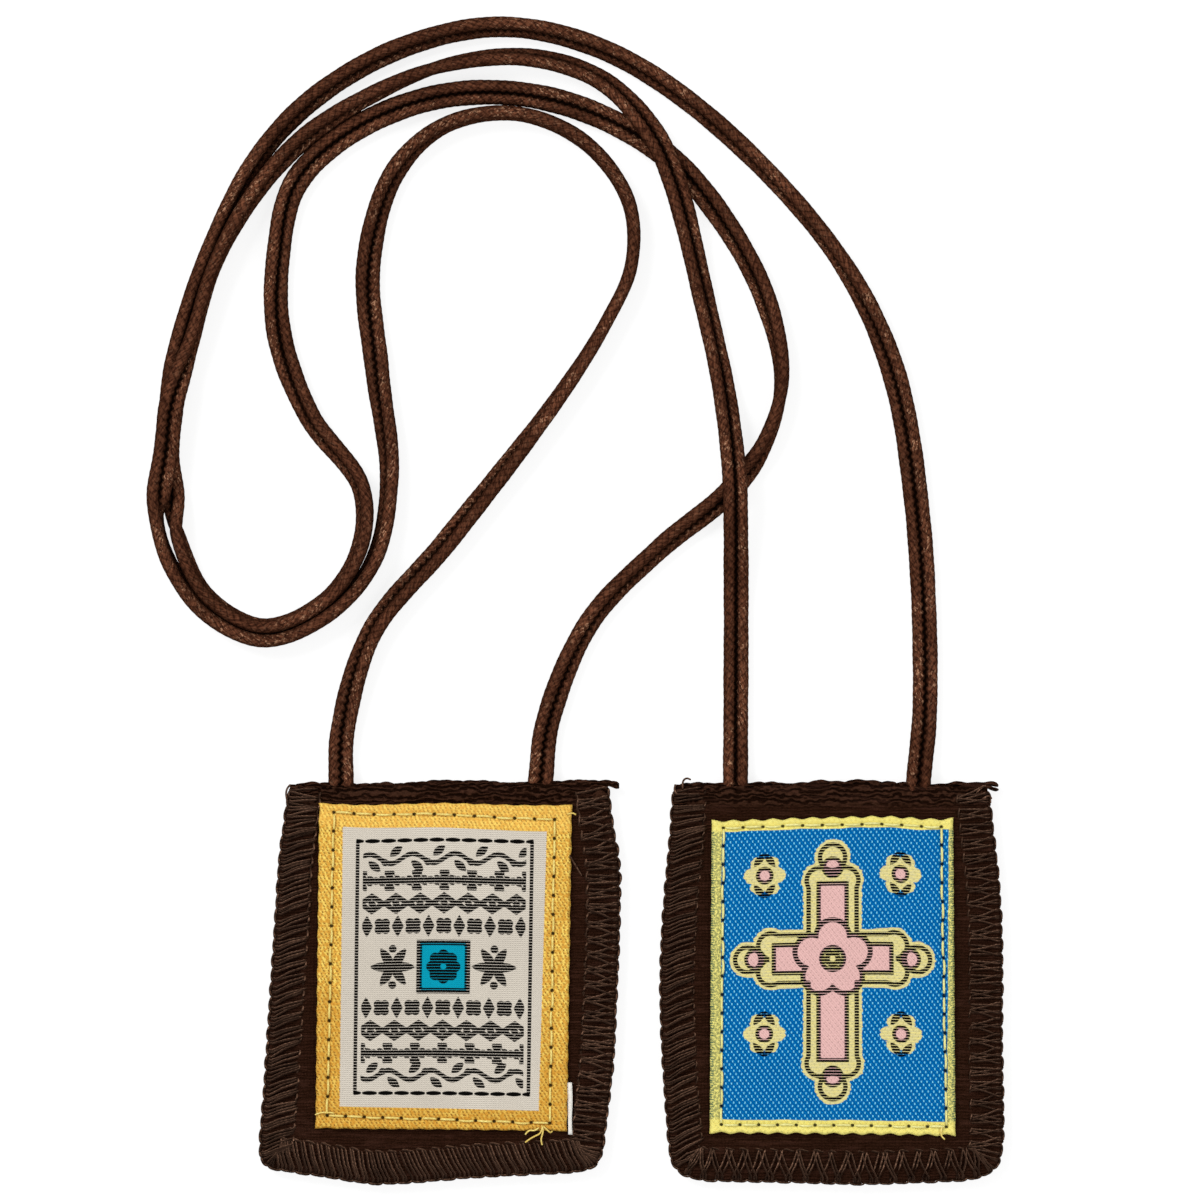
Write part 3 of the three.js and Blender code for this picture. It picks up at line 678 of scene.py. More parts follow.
def overlock(panel, material, seed):
    """Brown threads over the cut edges: slanted bunches down the left side, slanted pairs along the foot and
    a zigzag up the right side, with the loops that lock them round the edge."""
    rng = np.random.default_rng(seed)
    total = panel.run[-1]
    foot_start = PANEL_DEPTH - CORNER_REACH
    foot_end = total - PANEL_DEPTH + CORNER_REACH
    top = BAND_HIGH + 0.2
    paths = []

    def strand(start_run, end_run, reach, lift=0.0):
        """From the needle line to the edge, round it and back under."""
        middle = (start_run + end_run) / 2
        over = [(start_run, reach, top - 0.25),
                (start_run + (end_run - start_run) * 0.12, reach - 0.55, top + 0.12 + lift),
                (middle, reach * 0.5, top + 0.2 + lift), (end_run, 0.75, top + 0.02 + lift)]
        edge = [(end_run, 0.3, 2.15), (end_run, 0.14, 1.35), (end_run, 0.4, 0.5)]
        under = [(end_run, 1.0, 0.24), (middle, reach * 0.6, 0.22)]
        paths.append([panel.edge(*place) for place in over + edge + under])

    # Down the left side the strands lie close, most of them in slanted bunches out of one needle hole
    run = FIRST_STRAND
    while run < foot_start:
        near_corner = max(0.0, 1 - run / 6)
        lean = BUNCH_PITCH * min(1, run / 9)
        hole = round(run / BUNCH_PITCH) * BUNCH_PITCH
        strand(run - lean + (hole - run) * 0.45 + wobble(rng, 0.18), run + wobble(rng, 0.26),
               BAND + 0.2 + wobble(rng, 0.3) - near_corner, wobble(rng, 0.16))
        run += LEFT_PITCH + wobble(rng, 0.12)
    while run < foot_end:
        if panel.name == "left_panel":
            start_lean, end_lean = 1.2, 0.5
        else:
            start_lean = end_lean = 0.8 * (1 if int(run / 1.3) % 2 else -1)
        strand(run - start_lean + wobble(rng, 0.1), run + end_lean + wobble(rng, 0.1),
               BAND + wobble(rng, 0.15), wobble(rng, 0.05))
        run += FOOT_PITCH + 0.28 * (int(run / 0.6) % 2) + wobble(rng, 0.08)
    side = 1
    while run < total - 0.6:
        side = -side
        hole = round(run / ZIGZAG_PITCH) * ZIGZAG_PITCH
        strand(run + 0.36 * side + (hole - run) * 0.6 + wobble(rng, 0.1),
               run - 0.42 * side + wobble(rng, 0.16), BAND + wobble(rng, 0.2), wobble(rng, 0.1))
        run += RIGHT_PITCH + wobble(rng, 0.1)

    # The two looping threads that lock over the edge
    for phase, reach, rise in ((0.0, 0.02, 0.0), (0.6, 0.1, 2.2)):
        places = np.arange(FIRST_STRAND, total - FIRST_STRAND, 0.14)
        turn = 2 * np.pi * places / SCALLOP_PITCH + phase
        if panel.name == "left_panel":
            loose = 0.4 * np.exp(-((places - 38) / 14) ** 2) + np.exp(-((places - total + 13) / 3.5) ** 2)
        else:
            loose = np.where(places > foot_end, 0.3, 0.1)
        out = reach - (0.15 + 0.22 * loose) * np.cos(turn) - 0.05 * np.sin(places * 1.7 + phase)
        lock = panel.edge(places + 0.3 * np.sin(turn), out, 1.4)
        lock[:, 2] = 1.45 + 0.85 * np.sin(turn + rise) + 0.1 * np.sin(places * 2.3)
        paths.append(lock)
    # The needle thread, dipping into the wool between stitches
    places = np.arange(0.6, total - 0.6, 0.37)
    turn = 2 * np.pi * places / SCALLOP_PITCH
    needle = panel.edge(places, BAND - 0.1 + 0.14 * np.sin(turn + 1), top)
    needle[:, 2] = top - 0.14 + 0.2 * np.sin(turn)
    paths.append(needle)
    radius, shade = (0.18, (0, 1)) if panel.name == "left_panel" else (0.145, (0.1, 0.9))
    piece = threads(f"{panel.name}_overlock", paths, radius, material, shade=shade)
    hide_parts(*(f"{panel.name}_edging_{side}" for side in ("left", "foot", "right")))


def fold_yarns(panel, material, seed):
    """The thick wavy yarns that stand proud along the fold."""
    rng = np.random.default_rng(seed)
    paths = []
    for down, z in ((-0.05, 0.7), (-0.12, 1.25), (-0.02, 1.8), (0.3, 2.2)):
        for start in (-0.97, -0.31, 0.35):
            end = start + 0.72
            part = np.linspace(start, end, 46)
            across = part * np.where(part < 0, -panel.left(0), panel.right(0))
            a, b = rng.uniform(0, 6.3, 2)
            wave = 0.14 * np.sin(across * 1.1 + a) + 0.1 * np.sin(across * 2.3 + b)
            ends = 0.5 * (np.abs(part - (start + end) / 2) / (end - start) * 2) ** 6
            paths.append(panel.place(across, down + wave + ends, z + 0.5 * wave - ends * (z - 1.15)))
    threads(f"{panel.name}_fold_yarns", paths, 0.3, material)


def wool_paint():
    """Wool cloth: fine yarns both ways, thicker wavy ones along the fold, and a haze of short hairs,
    with painted highlights on the fold yarns' crests and painted shade in the hollows between yarns.
    """
    paint = Paint("brown_wool", 0.95, specular=0.0)
    place = paint.spot()
    x, y, _ = paint.parts(place)
    bend = paint.noise(paint.stretch(place, 0.5, 1.0, 1.0), 0.35, 2.0) * 2.2
    kinks = paint.noise(paint.stretch(place, 0.55, 0.8, 1.0), 0.75, 2.0, 0.6) * 2.6
    at_fold = 1 - y.below(26.6, 1.2)
    yarn_wave = (y + kinks).wave(0.82)
    yarns_across = (y + bend * 0.3).wave(0.46)
    yarns_down = (x + bend * 0.3).wave(0.5)
    fuzz = paint.noise(paint.stretch(place, 0.8, 3.6, 2.0), 2.4, 6.0, 0.7)
    hairs = paint.noise(paint.stretch(place, 5.0, 1.3, 2.0), 3.0, 5.0, 0.7)
    streaks = paint.noise(paint.stretch(place, 0.16, 1.9, 1.0), 1.0, 3.0, 0.6)
    weave = (yarns_across * 0.5 + yarns_down * 0.3) * (1 - at_fold) + yarn_wave * at_fold * 2.2
    height = weave + fuzz * 0.7 + hairs * 0.4
    base = paint.mix(fuzz.below(0.52, 0.3), "#40261b", "#221109")
    base = paint.coats(
        # Painted highlights on the crests of the fold's yarns
        base, ((1 - yarn_wave.below(0.6, 0.5)) * at_fold * 0.35, "#5a3c2d"),
        # Painted shade in the troughs between the fold's yarns
        (yarn_wave.below(0.35, 0.4) * at_fold * 0.8, "#100603"),
        # Painted shade in the hollows between the yarns across the cloth
        (yarns_across.below(0.4, 0.5) * (1 - at_fold) * 0.45, "#190b06"),
        ((1 - streaks.below(0.58, 0.08)) * 0.3, "#54352a"), ((1 - hairs.below(0.64, 0.1)) * 0.4, "#604634"))
    return paint.finish(base, height, 0.3)


def thread_paint(name, light, dark, deep, roughness, specular):
    """Twisted thread: lighter along its crown, with painted shade down its sides and in the twist."""
    paint = Paint(name, roughness, specular=specular)
    along, across, _ = paint.parts(paint.chart("thread"))
    twist = ((along * 1.5 + across * 0.5).fract() - 0.5).size() * 2
    fibre = paint.noise(paint.join(along * 0.5, across * 1.2), 4.0, 4.0, 0.6)
    tone = paint.noise(paint.spot(), 0.8, 2.0)
    base = paint.mix(fibre.below(0.5, 0.3), light, dark)
    # Painted shade down the thread's sides, away from its crown
    base = paint.mix((1 - across.below(0.95, 0.7)) * 0.75, base, deep)
    # Painted shade in the grooves of the twist
    base = paint.mix(twist.below(0.3, 0.3) * 0.5, base, deep)
    base = paint.mix(tone.below(0.48, 0.25) * 0.35, base, deep)
    base = paint.mix(paint.attribute("shade") * 0.55, base, deep)
    return paint.finish(base, twist * 0.6 + fibre * 0.6, 0.07)


wool_material = wool_paint()
# Thread colours: lightest, darker fibres, and the deep colour of the painted shade and of darker tones
overlock_material = thread_paint("overlock_thread", "#ac836a", "#4c3225", "#0f0604", 0.75, 0.02)
yellow_material = thread_paint("yellow_thread", "#fff2a0", "#ffe880", "#d6b04a", 0.45, 0.2)
pale_yellow_material = thread_paint("pale_yellow_thread", "#fffcb8", "#fff694", "#d6cc76", 0.45, 0.2)

for number, panel in enumerate(PANELS):
    wool(panel, wool_material)
    fold_yarns(panel, wool_material, 21 + number)
    overlock(panel, overlock_material, 11 + number)


# Woven labels. Designs are drawn as distances from each shape's edge, below zero inside it.

LEFT_BORDER = {"left": 3.67, "right": 4.05, "top": 3.7, "foot": 3.25}
RIGHT_BORDER = {"left": 1.6, "right": 1.0, "top": 1.75, "foot": 2.25}
FRAME_HALF = (13.0, 18.9)  # half width and half height of the black line frame


def circle(x, y, radius):
    return np.hypot(x, y) - radius


def bar(x, y, half_wide, half_high):
    """A straight-sided bar, centred."""
    return np.maximum(np.abs(x) - half_wide, np.abs(y) - half_high)


def leaf(x, y, angle, length, fat):
    """A pointed leaf that starts at the middle and grows out at an angle."""
    c, s = math.cos(angle), math.sin(angle)
    along, side = x * c + y * s, y * c - x * s
    part = np.clip(along / length, 0, 1)
    beyond = np.maximum(-along, along - length)
    return np.maximum(np.abs(side) - fat * np.sin(np.pi * part) ** 0.8, beyond)


def petals(x, y, count, reach, radius, turn=0.0):
    """A flower's round petals about its middle."""
    angles = turn + 2 * np.pi * np.arange(count) / count
    return np.min([circle(x - reach * np.cos(a), y - reach * np.sin(a), radius) for a in angles], axis=0)


def repeat(x, pitch):
    """Place within each repeat, from its middle."""
    return x - np.floor(x / pitch + 0.5) * pitch


def scroll_row(x, y, pitch=6.4):
    """A vine in waves, with a leaf at each crest and trough and a berry at each trough."""
    vine = np.abs(y - 0.7 * np.sin(2 * np.pi * x / pitch)) - 0.2
    crest = repeat(x - 0.25 * pitch, pitch)
    trough = repeat(x + 0.25 * pitch, pitch)
    sprig = leaf(crest, y + 0.5, -0.7, 1.9, 0.42)
    second = leaf(trough, y - 0.5, 0.7, 1.9, 0.42)
    berry = circle(trough + 0.9, y + 0.55, 0.34)
    return np.min([vine, sprig, second, berry], axis=0)


def cross_row(x, y, pitch=4.1):
    """Small crosses with a bead between each two."""
    local = repeat(x, pitch)
    between = repeat(x - pitch / 2, pitch)
    arms = [bar(local, y, 0.3, 1.15), bar(local, y, 1.15, 0.3)]
    ends = [bar(np.abs(local) - 1.15, y, 0.16, 0.55), bar(local, np.abs(y) - 1.15, 0.55, 0.16)]
    return np.min([*arms, *ends, circle(between, y, 0.4)], axis=0)


def lozenge_row(x, y, pitch=3.6):
    """Open lozenges, point to point, with a bead in each."""
    local = repeat(x, pitch)
    outer = (np.abs(local) / 1.7 + np.abs(y) / 1.15 - 1) * 0.95
    rim = np.abs(outer) - 0.19
    return np.minimum(rim, circle(local, y, 0.33))


def flower_row(x, y, pitch=4.6):
    """Small four-petalled flowers with a lozenge between each two."""
    local = repeat(x, pitch)
    between = repeat(x - pitch / 2, pitch)
    flower = petals(local, y, 4, 0.72, 0.45, math.pi / 4)
    heart = circle(local, y, 0.24)
    lozenge = (np.abs(between) / 0.7 + np.abs(y) / 1.3 - 1) * 0.62
    return np.min([flower, heart, lozenge], axis=0)


def left_design(x, y):
    """Black ornament and the teal square on the cream field, about its middle. y runs up."""
    black = np.full_like(x, 9.0)
    for half in (1, -1):
        for centre, row in ((16.2, scroll_row), (12.9, cross_row), (9.5, lozenge_row), (6.1, flower_row)):
            up = half * y - centre
            black = np.minimum(black, np.maximum(row(x, up), bar(x, up, 12.0, 1.7)))
    square = bar(x, y, 3.6, 3.6)
    rosette = np.minimum(petals(x, y, 8, 1.75, 0.62), np.abs(circle(x, y, 0.85)) - 0.2)
    black = np.min([black, np.abs(square) - 0.22, rosette], axis=0)
    for side in (-1, 1):
        spray = side * x - 7.6
        sprig = np.min([leaf(spray, y, a, 3.1, 0.5) for a in (0.0, 1.0, -1.0, 2.2, -2.2, math.pi)], axis=0)
        black = np.min([black, sprig, circle(spray, y - 2.7, 0.4), circle(spray, y + 2.7, 0.4)], axis=0)
    return {"black": black, "teal": square}


def right_design(x, y):
    """A pale yellow budded cross with a rose at its middle and small flowers between its arms."""
    arm = 4.4
    cross = np.minimum(bar(x, y - 0.6, arm, 15.2), bar(x, y - 2.6, 10.6, arm))
    ends = ((0, 15.4, math.pi / 2), (0, -14.2, -math.pi / 2), (10.4, 2.6, 0), (-10.4, 2.6, math.pi))
    buds = np.min([petals(x - px, y - py, 3, 2.3, 2.7, turn) for px, py, turn in ends], axis=0)
    yellow = np.minimum(cross, buds)
    inner = np.minimum(bar(x, y - 0.6, 2.1, 13.2), bar(x, y - 2.6, 8.8, 2.1))
    rose = petals(x, y - 2.6, 5, 3.3, 2.5, math.pi / 2)
    heart = circle(x, y - 2.6, 1.7)
    places = ((0, 16.2), (0, -15.0), (11.6, 2.6), (-11.6, 2.6))
    tips = np.min([circle(x - px, y - py, 1.35) for px, py in places], axis=0)
    spray_x = np.abs(x) - 10.2
    rows = np.minimum(np.abs(y - 15.2), np.abs(y + 8.6))
    flowers = np.minimum(petals(spray_x, rows, 6, 2.0, 1.15), circle(spray_x, rows, 1.5))
    middles = circle(spray_x, rows, 1.05)
    leaves = np.min([leaf(spray_x, rows - 3.4, a, 2.6, 0.5) for a in (-0.9, -2.2)], axis=0)
    edging = np.abs(yellow + 0.8) - 0.3
    yellow = np.minimum(yellow, flowers)
    pink = np.min([inner, rose, tips, middles], axis=0)
    pink = np.maximum(pink, -heart)
    rims = ((rose, 0.34), (heart, 0.3), (np.maximum(inner, -rose), 0.3), (tips, 0.26), (middles, 0.26))
    lines = np.min([edging, leaves, *(np.abs(shape) - half for shape, half in rims)], axis=0)
    return {"black": lines, "yellow": yellow, "pink": pink}


LOCKSTITCH = 2.87         # from hole to hole of the yellow seams


def hole_places(panel, insets):
    """Where the needle went through the label, side by side in sewing order from its top left corner. Insets
    are how far in across and down each corner of the seam lies from the label's."""
    width, height = panel.label_size()
    outer = [(0, 0), (width, 0), (width, height), (0, height)]
    inward = [(1, 1), (-1, 1), (-1, -1), (1, -1)]
    corners = [np.array(c) + np.array(i) * np.array(w) for c, i, w in zip(outer, insets, inward)]
    sides = []
    for start, end in zip(corners, corners[1:] + corners[:1]):
        count = round(float(np.linalg.norm(end - start)) / LOCKSTITCH)
        parts = np.arange(count + 1)[:, None] / count
        sides.append(start + (end - start) * parts)
    return sides


def label_piece(panel, sides, design, material, scallop):
    """The label: pulled down at each needle hole, its edge drawn in beside them by the depths of scallop,
    which are for its ends and its sides."""
    width, height = panel.label_size()
    columns, rows = round(width / LABEL_STEP), round(height / LABEL_STEP)
    u, v = np.meshgrid(np.linspace(0, 1, columns), np.linspace(0, 1, rows))
    x, y = u * width, v * height
    holes = np.concatenate(sides)
    hole = np.min([np.hypot(x - hx, y - hy) for hx, hy in holes], axis=0)
    edge = np.min([x, width - x, y, height - y], axis=0)

    def away(values, marks):
        return np.min(np.abs(values[..., None] - marks), axis=-1)

    # The stitches draw the label's edge in beside each hole
    across_seam = np.where(y < height / 2, away(x, sides[0][:, 0]), away(x, sides[2][:, 0]))
    down_seam = np.where(x < width / 2, away(y, sides[3][:, 1]), away(y, sides[1][:, 1]))
    at_side = np.minimum(x, width - x) < np.minimum(y, height - y)
    pull = np.exp(-(np.where(at_side, down_seam, across_seam) / 0.95) ** 2)
    ways = [(side[-1] - side[0]) / np.linalg.norm(side[-1] - side[0]) for side in sides]
    line = np.min([np.abs((x - side[0, 0]) * way[1] - (y - side[0, 1]) * way[0])
                   for side, way in zip(sides, ways)], axis=0)
    seam = np.exp(-(line / 0.9) ** 2)
    toward_u, toward_v = np.sign(0.5 - u), np.sign(0.5 - v)
    near = np.exp(-(edge / 0.9) ** 2)
    draw = np.where(at_side, scallop[1], scallop[0]) * pull * near
    across, down = panel.label_frame(u, v)
    across = across + draw * toward_u * at_side
    down = down + draw * toward_v * ~at_side
    soft = 0.1 * ripple(np.stack([across, down], axis=-1), 14, 1.1)
    rounded = np.sqrt(1 - np.clip(1 - edge / 0.35, 0, 1) ** 2)
    dimple = 0.32 * np.exp(-(hole / 0.42) ** 2)
    high = LABEL_Z + LABEL_THICK * (0.25 + 0.75 * rounded) + soft - dimple - 0.14 * seam
    upper = panel.label_place(across, down, high)
    lower = panel.label_place(across, down, np.full_like(high, LABEL_Z - 0.05))
    piece = mesh_piece(f"{panel.name}_woven_label", *closed_sheet(upper, lower), material)
    from_middle, up = x - width / 2, height / 2 - y
    set_chart(piece, "weave", np.tile(from_middle.ravel(), 2), np.tile(up.ravel(), 2))
    for name, distance in design(from_middle, up).items():
        set_attribute(piece, name, np.tile(np.clip(distance, -2, 2).ravel(), 2))
    set_attribute(piece, "hole", np.tile(np.minimum(hole, 3).ravel(), 2))
    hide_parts(f"{panel.name}_label")
    width * MM
    height * MM


def label_point(panel, place, z):
    """Point on the panel over a place on its label, in millimetres from the label's top left corner."""
    width, height = panel.label_size()
    across, down = panel.label_frame(place[0] / width, place[1] / height)
    return panel.label_place(np.array(across), np.array(down), np.array(z * 1.0))


STITCH_RADIUS = 0.18
# Part of the way from hole to hole, and height over the label's top
STITCH_RISE = [(0.1, -0.42), (0.17, -0.06), (0.32, 0.05), (0.5, 0.08), (0.68, 0.05), (0.83, -0.06),
               (0.9, -0.42)]


def lockstitches(panel, sides, material, seed):
    """Yellow stitches from hole to hole, each a thread that dips in at both ends."""
    rng = np.random.default_rng(seed)
    top = LABEL_Z + LABEL_THICK
    paths = []
    for side in sides:
        for start, end in zip(side[:-1], side[1:]):
            way = (end - start) / np.linalg.norm(end - start)
            across = np.array([-way[1], way[0]]) * wobble(rng, 0.14)
            paths.append([label_point(panel, start + (end - start) * part + across * math.sin(math.pi * part),
                                      top + rise) for part, rise in STITCH_RISE])
    name = f"{panel.name}_lockstitches"
    threads(name, paths, STITCH_RADIUS, material, sides=8, shade=(0, 0.3))


def left_label_paint():
    width, height = PANELS[0].label_size()
    paint = Paint("gold_and_cream_label", 0.6, specular=0.04)
    x, y, _ = paint.parts(paint.chart("weave"))
    hole = paint.attribute("hole")
    black = paint.attribute("black")
    teal = paint.attribute("teal")
    ragged = (paint.noise(paint.join(x * 0.4, y * 6), 1.0, 2.0) - 0.5) * 0.5
    left = x + width / 2 - LEFT_BORDER["left"] + ragged
    right = width / 2 - x - LEFT_BORDER["right"] + y * 0.014 + ragged
    top = height / 2 - y - LEFT_BORDER["top"] - x * 0.019
    foot = y + height / 2 - LEFT_BORDER["foot"] + x * 0.012
    field = 1 - left.both(right).both(top).both(foot).below(0, 0.1)
    # Gold: slanted floats of yellow over darker orange threads, heavier towards the foot
    rows = (y / 0.42).fract()
    row = (y / 0.42).math("FLOOR")
    rough = paint.noise(paint.join(x, y), 1.7, 4.0, 0.7)
    uneven = paint.noise(paint.join(x * 0.45, row * 3.7), 1.0, 2.0)
    float_run = (x / 0.66 + row * 0.36 + rows * 0.3 + uneven * 1.8).fract()
    # Patches of darker orange, more of them towards the foot
    darker_to_foot = paint.noise(paint.join(x, y, 3.0), 0.16, 2.0) + y * 0.013
    speck = float_run.below(0.36, 0.3) * rows.below(0.66, 0.3) * (1 - rough.below(0.5, 0.1) * 0.8)
    slant = (x / 0.5 - y / 0.6 + rough * 1.2).wave(1.0)
    gold = paint.mix(rough.below(0.5, 0.1) * 0.75, "#ffde6e", "#d8922a")
    gold = paint.coats(
        gold, (darker_to_foot.below(0.45, 0.3) * 0.45, "#c98b2a"), (slant * 0.2, "#b07421"),
        # Painted highlight: the top border lit lighter
        (speck * 0.85, "#935615"), (top.below(0, 0.4) * 0.34, "#ffcb62"))
    # Cream: fine twill
    twill = (x / 0.36 + y / 0.3).wave(1.0)
    picks = (y / 0.3).fract().below(0.3, 0.3)
    shade = paint.noise(paint.join(x, y, 8.0), 0.07, 2.0)
    cream = paint.mix((1 - twill) * 0.4, "#ece3d4", "#b3a898")
    cream = paint.coats(
        cream, (picks * 0.28, "#a0968a"), (shade.below(0.5, 0.3) * 0.2, "#bdb2a4"))
    # Ornament: the black weft shows in short floats, so that it reads as small bars
    bars = ((y / 0.43).fract() - 0.5).size().below(0.415, 0.07)
    ink = black.below(0.2, 0.08) * bars
    teal_patch = teal.below(-0.1, 0.08)
    teal_tone = paint.mix(twill * 0.5, "#049ab8", "#08b2ca")
    # Frame: long floats at its top and foot, small bars at its sides
    frame_x = (x.size() - FRAME_HALF[0]).size()
    frame_y = (y.size() - FRAME_HALF[1]).size()
    within_x = x.size().below(FRAME_HALF[0] + 0.2)
    within_y = y.size().below(FRAME_HALF[1] + 0.2)
    dash = ((x / 2.4).fract() - 0.5).size()
    long_floats = frame_y.below(0.32 - dash * dash * 0.8, 0.1) * within_x * dash.below(0.46, 0.04)
    short_bars = frame_x.below(0.28, 0.08) * within_y * bars
    frame_line = long_floats.either(short_bars)
    cream = paint.mix(teal_patch, cream, teal_tone)
    cream = paint.mix(ink.either(frame_line), cream, "#060403")
    base = paint.mix(field, gold, cream)
    # Painted shade in each needle hole
    base = paint.mix(hole.below(0.3, 0.14) * 0.95, base, "#120a03")
    gold_height = speck * -0.9 + rough * 0.6
    cream_height = twill * 0.45 - picks * 0.4
    return paint.finish(base, gold_height * (1 - field) + cream_height * field + ink * 0.25, 0.1)


def right_label_paint():
    width, height = PANELS[1].label_size()
    paint = Paint("blue_label", 0.55, specular=0.01)
    x, y, _ = paint.parts(paint.chart("weave"))
    hole = paint.attribute("hole")
    black = paint.attribute("black")
    yellow = paint.attribute("yellow")
    pink = paint.attribute("pink")
    waver = (paint.noise(paint.join(x * 0.25, y * 0.25), 1.0, 2.0) - 0.5) * 0.5
    left = x + width / 2 - RIGHT_BORDER["left"] + waver
    right = width / 2 - x - RIGHT_BORDER["right"] + y * 0.012 + waver * 0.6
    top = height / 2 - y - RIGHT_BORDER["top"] + waver
    foot = y + height / 2 - RIGHT_BORDER["foot"] + waver
    field = 1 - left.both(right).both(top).both(foot).below(0, 0.12)
    # Blue ground with a white tie point in each repeat, in slanted rows
    row = (y / 0.48).math("FLOOR")
    dot_x = ((x / 0.84 + row * 0.4).fract() - 0.5).size() * 0.84
    dot_y = ((y / 0.48).fract() - 0.5).size() * 0.48
    dot = dot_x.below(0.1, 0.05) * dot_y.below(0.16, 0.07)
    rough = paint.noise(paint.join(x, y), 3.0, 3.0, 0.6)
    lean = (x / 0.42 + y / 0.48).wave(1.0)
    blue = paint.mix(lean * 0.75, "#0076c2", "#004a88")
    blue = paint.coats(
        blue, (rough.below(0.46, 0.2) * 0.4, "#003f78"), (dot * 0.85, "#86e0ff"))
    # Pale yellow with grey picks, and rose pink twill
    picks = (y / 0.43).fract().below(0.4, 0.3)
    mottle = paint.noise(paint.join(x * 0.8, y * 3.2), 1.4, 3.0, 0.6)
    pale = paint.mix(picks * 0.55, "#f1e28f", "#cdc48a")
    pale = paint.mix(mottle.below(0.5, 0.15) * 0.5, pale, "#d3cda6")
    rosy = paint.mix(lean * 0.5, "#eec3bd", "#d79c9b")
    bars = ((y / 0.43).fract() - 0.5).size().below(0.39, 0.1)
    base = paint.mix(yellow.below(ragged_edge(paint, x, y), 0.1), blue, pale)
    base = paint.mix(pink.below(0, 0.1), base, rosy)
    base = paint.mix(black.below(0.04, 0.1) * bars, base, "#0b0908")
    border = paint.mix(rough.below(0.47, 0.2) * 0.5, "#fff48c", "#f6dc66")
    border = paint.mix(((x + y) / 0.3).wave(1.0) * 0.2, border, "#b9a648")
    # Its sides show green where the blue threads pass under the yellow ones
    at_sides = (x.size() - width / 2 + 2.0).below(0, 0.3)
    outermost = (width / 2 - x.size()).below(0.5, 0.4)
    green_picks = ((y / 0.36).fract() - 0.5).size().below(0.22, 0.1)
    green = rough.below(0.52, 0.12) * 0.62 + outermost * green_picks * 0.45
    between_ends = 1 - top.both(foot).below(0, 0.4)
    border = paint.mix((1 - at_sides) * between_ends * green, border, "#4a6c58")
    base = paint.mix(field, border, base)
    # Painted shade in each needle hole
    base = paint.mix(hole.below(0.3, 0.14) * 0.95, base, "#141004")
    return paint.finish(base, lean * 0.4 + dot * 0.7 + rough * 0.4 - picks * 0.2, 0.09)


def ragged_edge(paint, x, y):
    """The yellow's edge steps in and out a little from pick to pick."""
    return (paint.noise(paint.join(x * 0.3, y * 2.3), 1.0, 2.0) - 0.5) * 0.7


left_panel, right_panel = PANELS
LEFT_HOLES = hole_places(left_panel, [(2.3, 1.3), (2.6, 2.2), (2.65, 1.2), (1.8, 2.0)])
RIGHT_HOLES = hole_places(right_panel, [(1.8, 1.15), (1.85, 1.25), (1.4, 1.45), (1.75, 1.45)])
label_piece(left_panel, LEFT_HOLES, left_design, left_label_paint(), (0.14, 0.14))
label_piece(right_panel, RIGHT_HOLES, right_design, right_label_paint(), (0.34, 0.07))
lockstitches(left_panel, LEFT_HOLES, yellow_material, 3)
lockstitches(right_panel, RIGHT_HOLES, pale_yellow_material, 4)


# The left label's turned-under end, a white sliver that shows at its lower right side
end_rows = np.linspace(-14.8, -22.6, 14)
end_left, end_right = -9.7 - 0.02 * (end_rows + 14.8), -8.95 + 0.05 * np.sin(end_rows)
end_top = np.stack([np.stack([side, end_rows, np.full_like(end_rows, 2.85)], axis=-1)
                    for side in (end_left, end_right)], axis=1)
end_paint = Paint("label_end_white", 0.8, specular=0.05)
end_weave = end_paint.noise(end_paint.spot(), 4.0, 3.0)
end_white = end_paint.mix(end_weave.below(0.45, 0.2) * 0.5, "#f4f1ea", "#cbc6ba")
end_sheet = closed_sheet(end_top[::-1], end_top[::-1] - [0, 0, 0.3])
end_piece = mesh_piece("left_panel_label_end", *end_sheet, end_paint.finish(end_white, end_weave, 0.08))


# Loose thread ends

def tail(points):
    """A thin loose thread through a few points in millimetres, smoothed."""
    points = np.array(points, dtype=float)
    parts = np.linspace(0, len(points) - 1, 6 * len(points))
    columns = [smooth_table(parts, np.arange(len(points)), points[:, k], reach=0.5) for k in range(3)]
    return np.stack(columns, axis=1)


threads("yellow_tails", [
    tail([(-13.6, -21.0, 3.3), (-13.2, -22.0, 3.6), (-13.7, -23.2, 3.3), (-13.4, -24.3, 2.9)]),
    tail([(-13.4, -21.2, 3.3), (-13.6, -22.4, 3.7), (-14.9, -22.9, 3.3), (-16.2, -23.9, 3.0)]),
    tail([(-13.4, -21.2, 3.3), (-12.6, -21.9, 3.7), (-12.2, -22.3, 3.4), (-11.9, -22.0, 2.9)]),
    tail([(-13.8, -21.4, 3.3), (-14.6, -22.0, 3.7), (-15.4, -21.8, 3.4), (-16.1, -22.7, 3.0)]),
    tail([(-44.2, -19.4, 3.3), (-46.3, -19.1, 3.4), (-47.6, -19.7, 3.0)]),
    tail([(-9.9, 25.3, 3.3), (-8.9, 25.6, 3.3), (-8.3, 25.2, 3.0)]),
    tail([(46.4, -21.2, 3.3), (46.0, -22.6, 3.5), (46.9, -23.4, 3.0)]),
], 0.13, yellow_material)
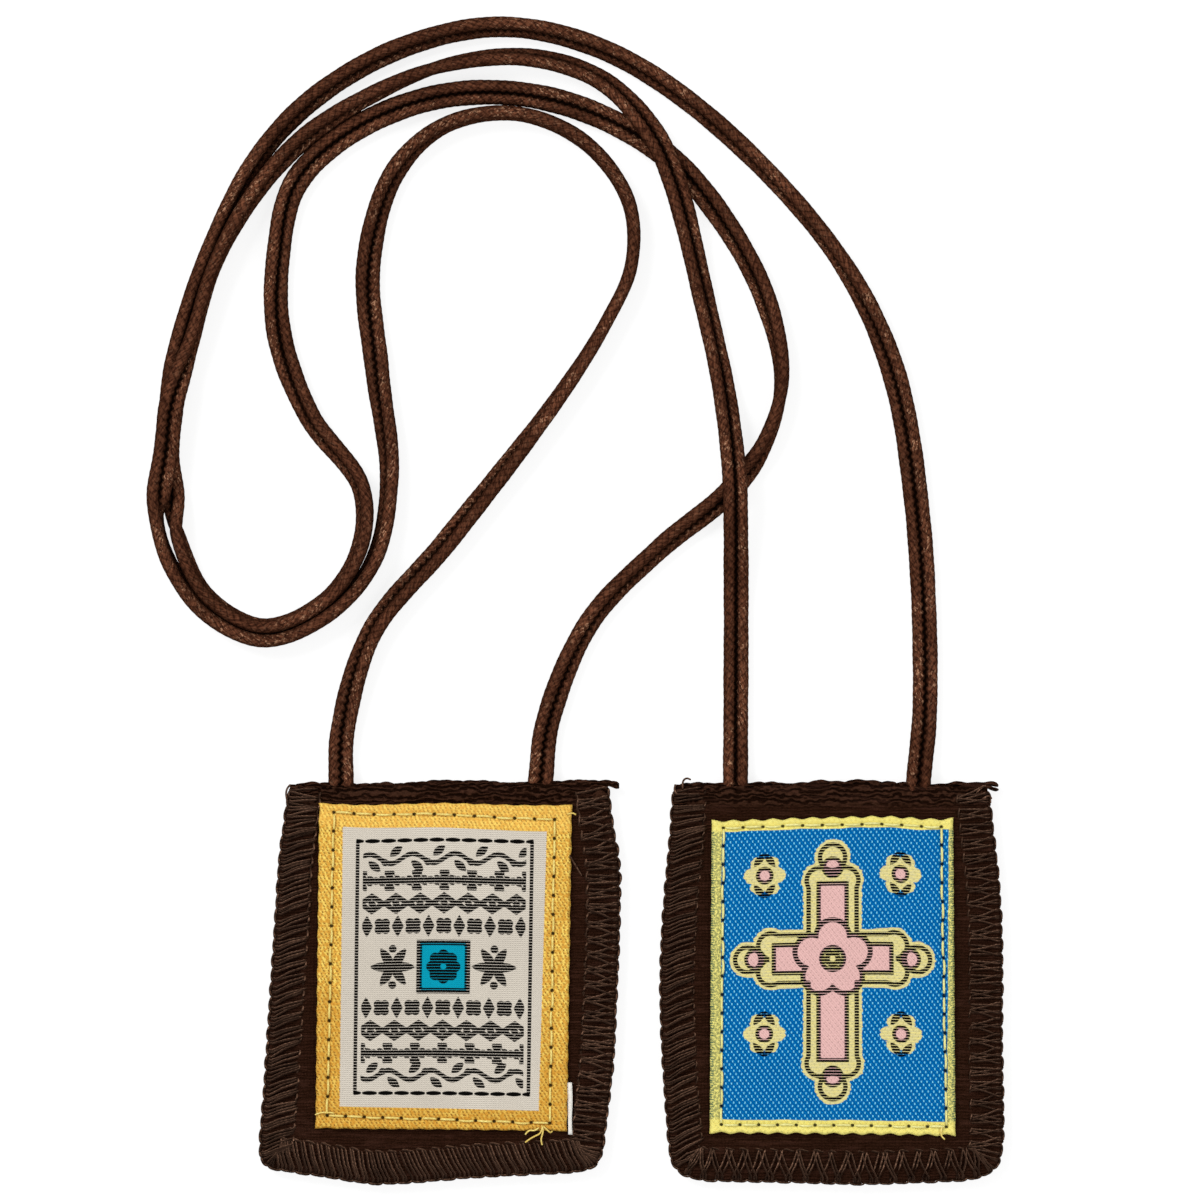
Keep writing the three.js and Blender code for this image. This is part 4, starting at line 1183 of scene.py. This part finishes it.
threads("brown_tails", [
    tail([(7.6, 29.0, 2.4), (7.5, 30.2, 2.6), (8.1, 30.8, 1.9), (8.9, 30.4, 1.2)]),
    tail([(6.9, 28.2, 2.5), (6.2, 28.9, 2.7), (6.6, 29.9, 2.0)]),
    tail([(51.4, 28.4, 2.5), (52.3, 29.4, 2.7), (53.2, 29.7, 2.0), (53.7, 28.9, 1.4)]),
    tail([(52.2, 27.4, 2.5), (53.4, 28.3, 2.6), (53.9, 27.5, 1.9)]),
    tail([(-9.6, 19.6, 3.0), (-8.4, 17.6, 3.2), (-7.4, 15.9, 3.0)]),
    tail([(-51.6, 27.2, 2.4), (-51.9, 28.9, 2.6), (-51.0, 29.9, 1.8)]),
], 0.15, overlock_material)


# Floor and light

floor_paint = Paint("floor_white", 0.9, specular=0.0)
floor_paint.shader.inputs["Emission Color"].default_value = (1, 1, 1, 1)
floor_paint.shader.inputs["Emission Strength"].default_value = 0.82
floor_material = floor_paint.finish(colour("#8e8e8e"), floor_paint.noise(floor_paint.spot(), 0.05), 0.0)
bpy.ops.mesh.primitive_plane_add(size=4, location=(0, 0, -0.0002))
floor = bpy.context.object
floor.name = "floor"
floor.data.materials.append(floor_material)


def soft_light(name, place, power, size):
    """A square soft light that looks at the object from a place, in metres."""
    bpy.ops.object.light_add(type="AREA", location=place)
    lamp = bpy.context.object
    lamp.name = name
    lamp.data.energy = power
    lamp.data.size = size
    aim = np.array([VIEW_CENTRE[0] * MM, VIEW_CENTRE[1] * MM, 0]) - np.array(place)
    tilt = math.atan2(math.hypot(aim[0], aim[1]), -aim[2])
    lamp.rotation_euler = (tilt, 0, math.atan2(aim[0], -aim[1]) + math.pi)


soft_light("key_light", (-0.7, 0.75, 0.95), 11, 0.5)
soft_light("fill_light", (0.8, -0.5, 1.0), 5, 0.8)
world = bpy.data.worlds.new("studio")
world.use_nodes = True
world.node_tree.nodes["Background"].inputs["Color"].default_value = (1, 1, 1, 1)
world.node_tree.nodes["Background"].inputs["Strength"].default_value = 0.5
bpy.context.scene.world = world
bpy.context.scene.view_settings.view_transform = "Standard"
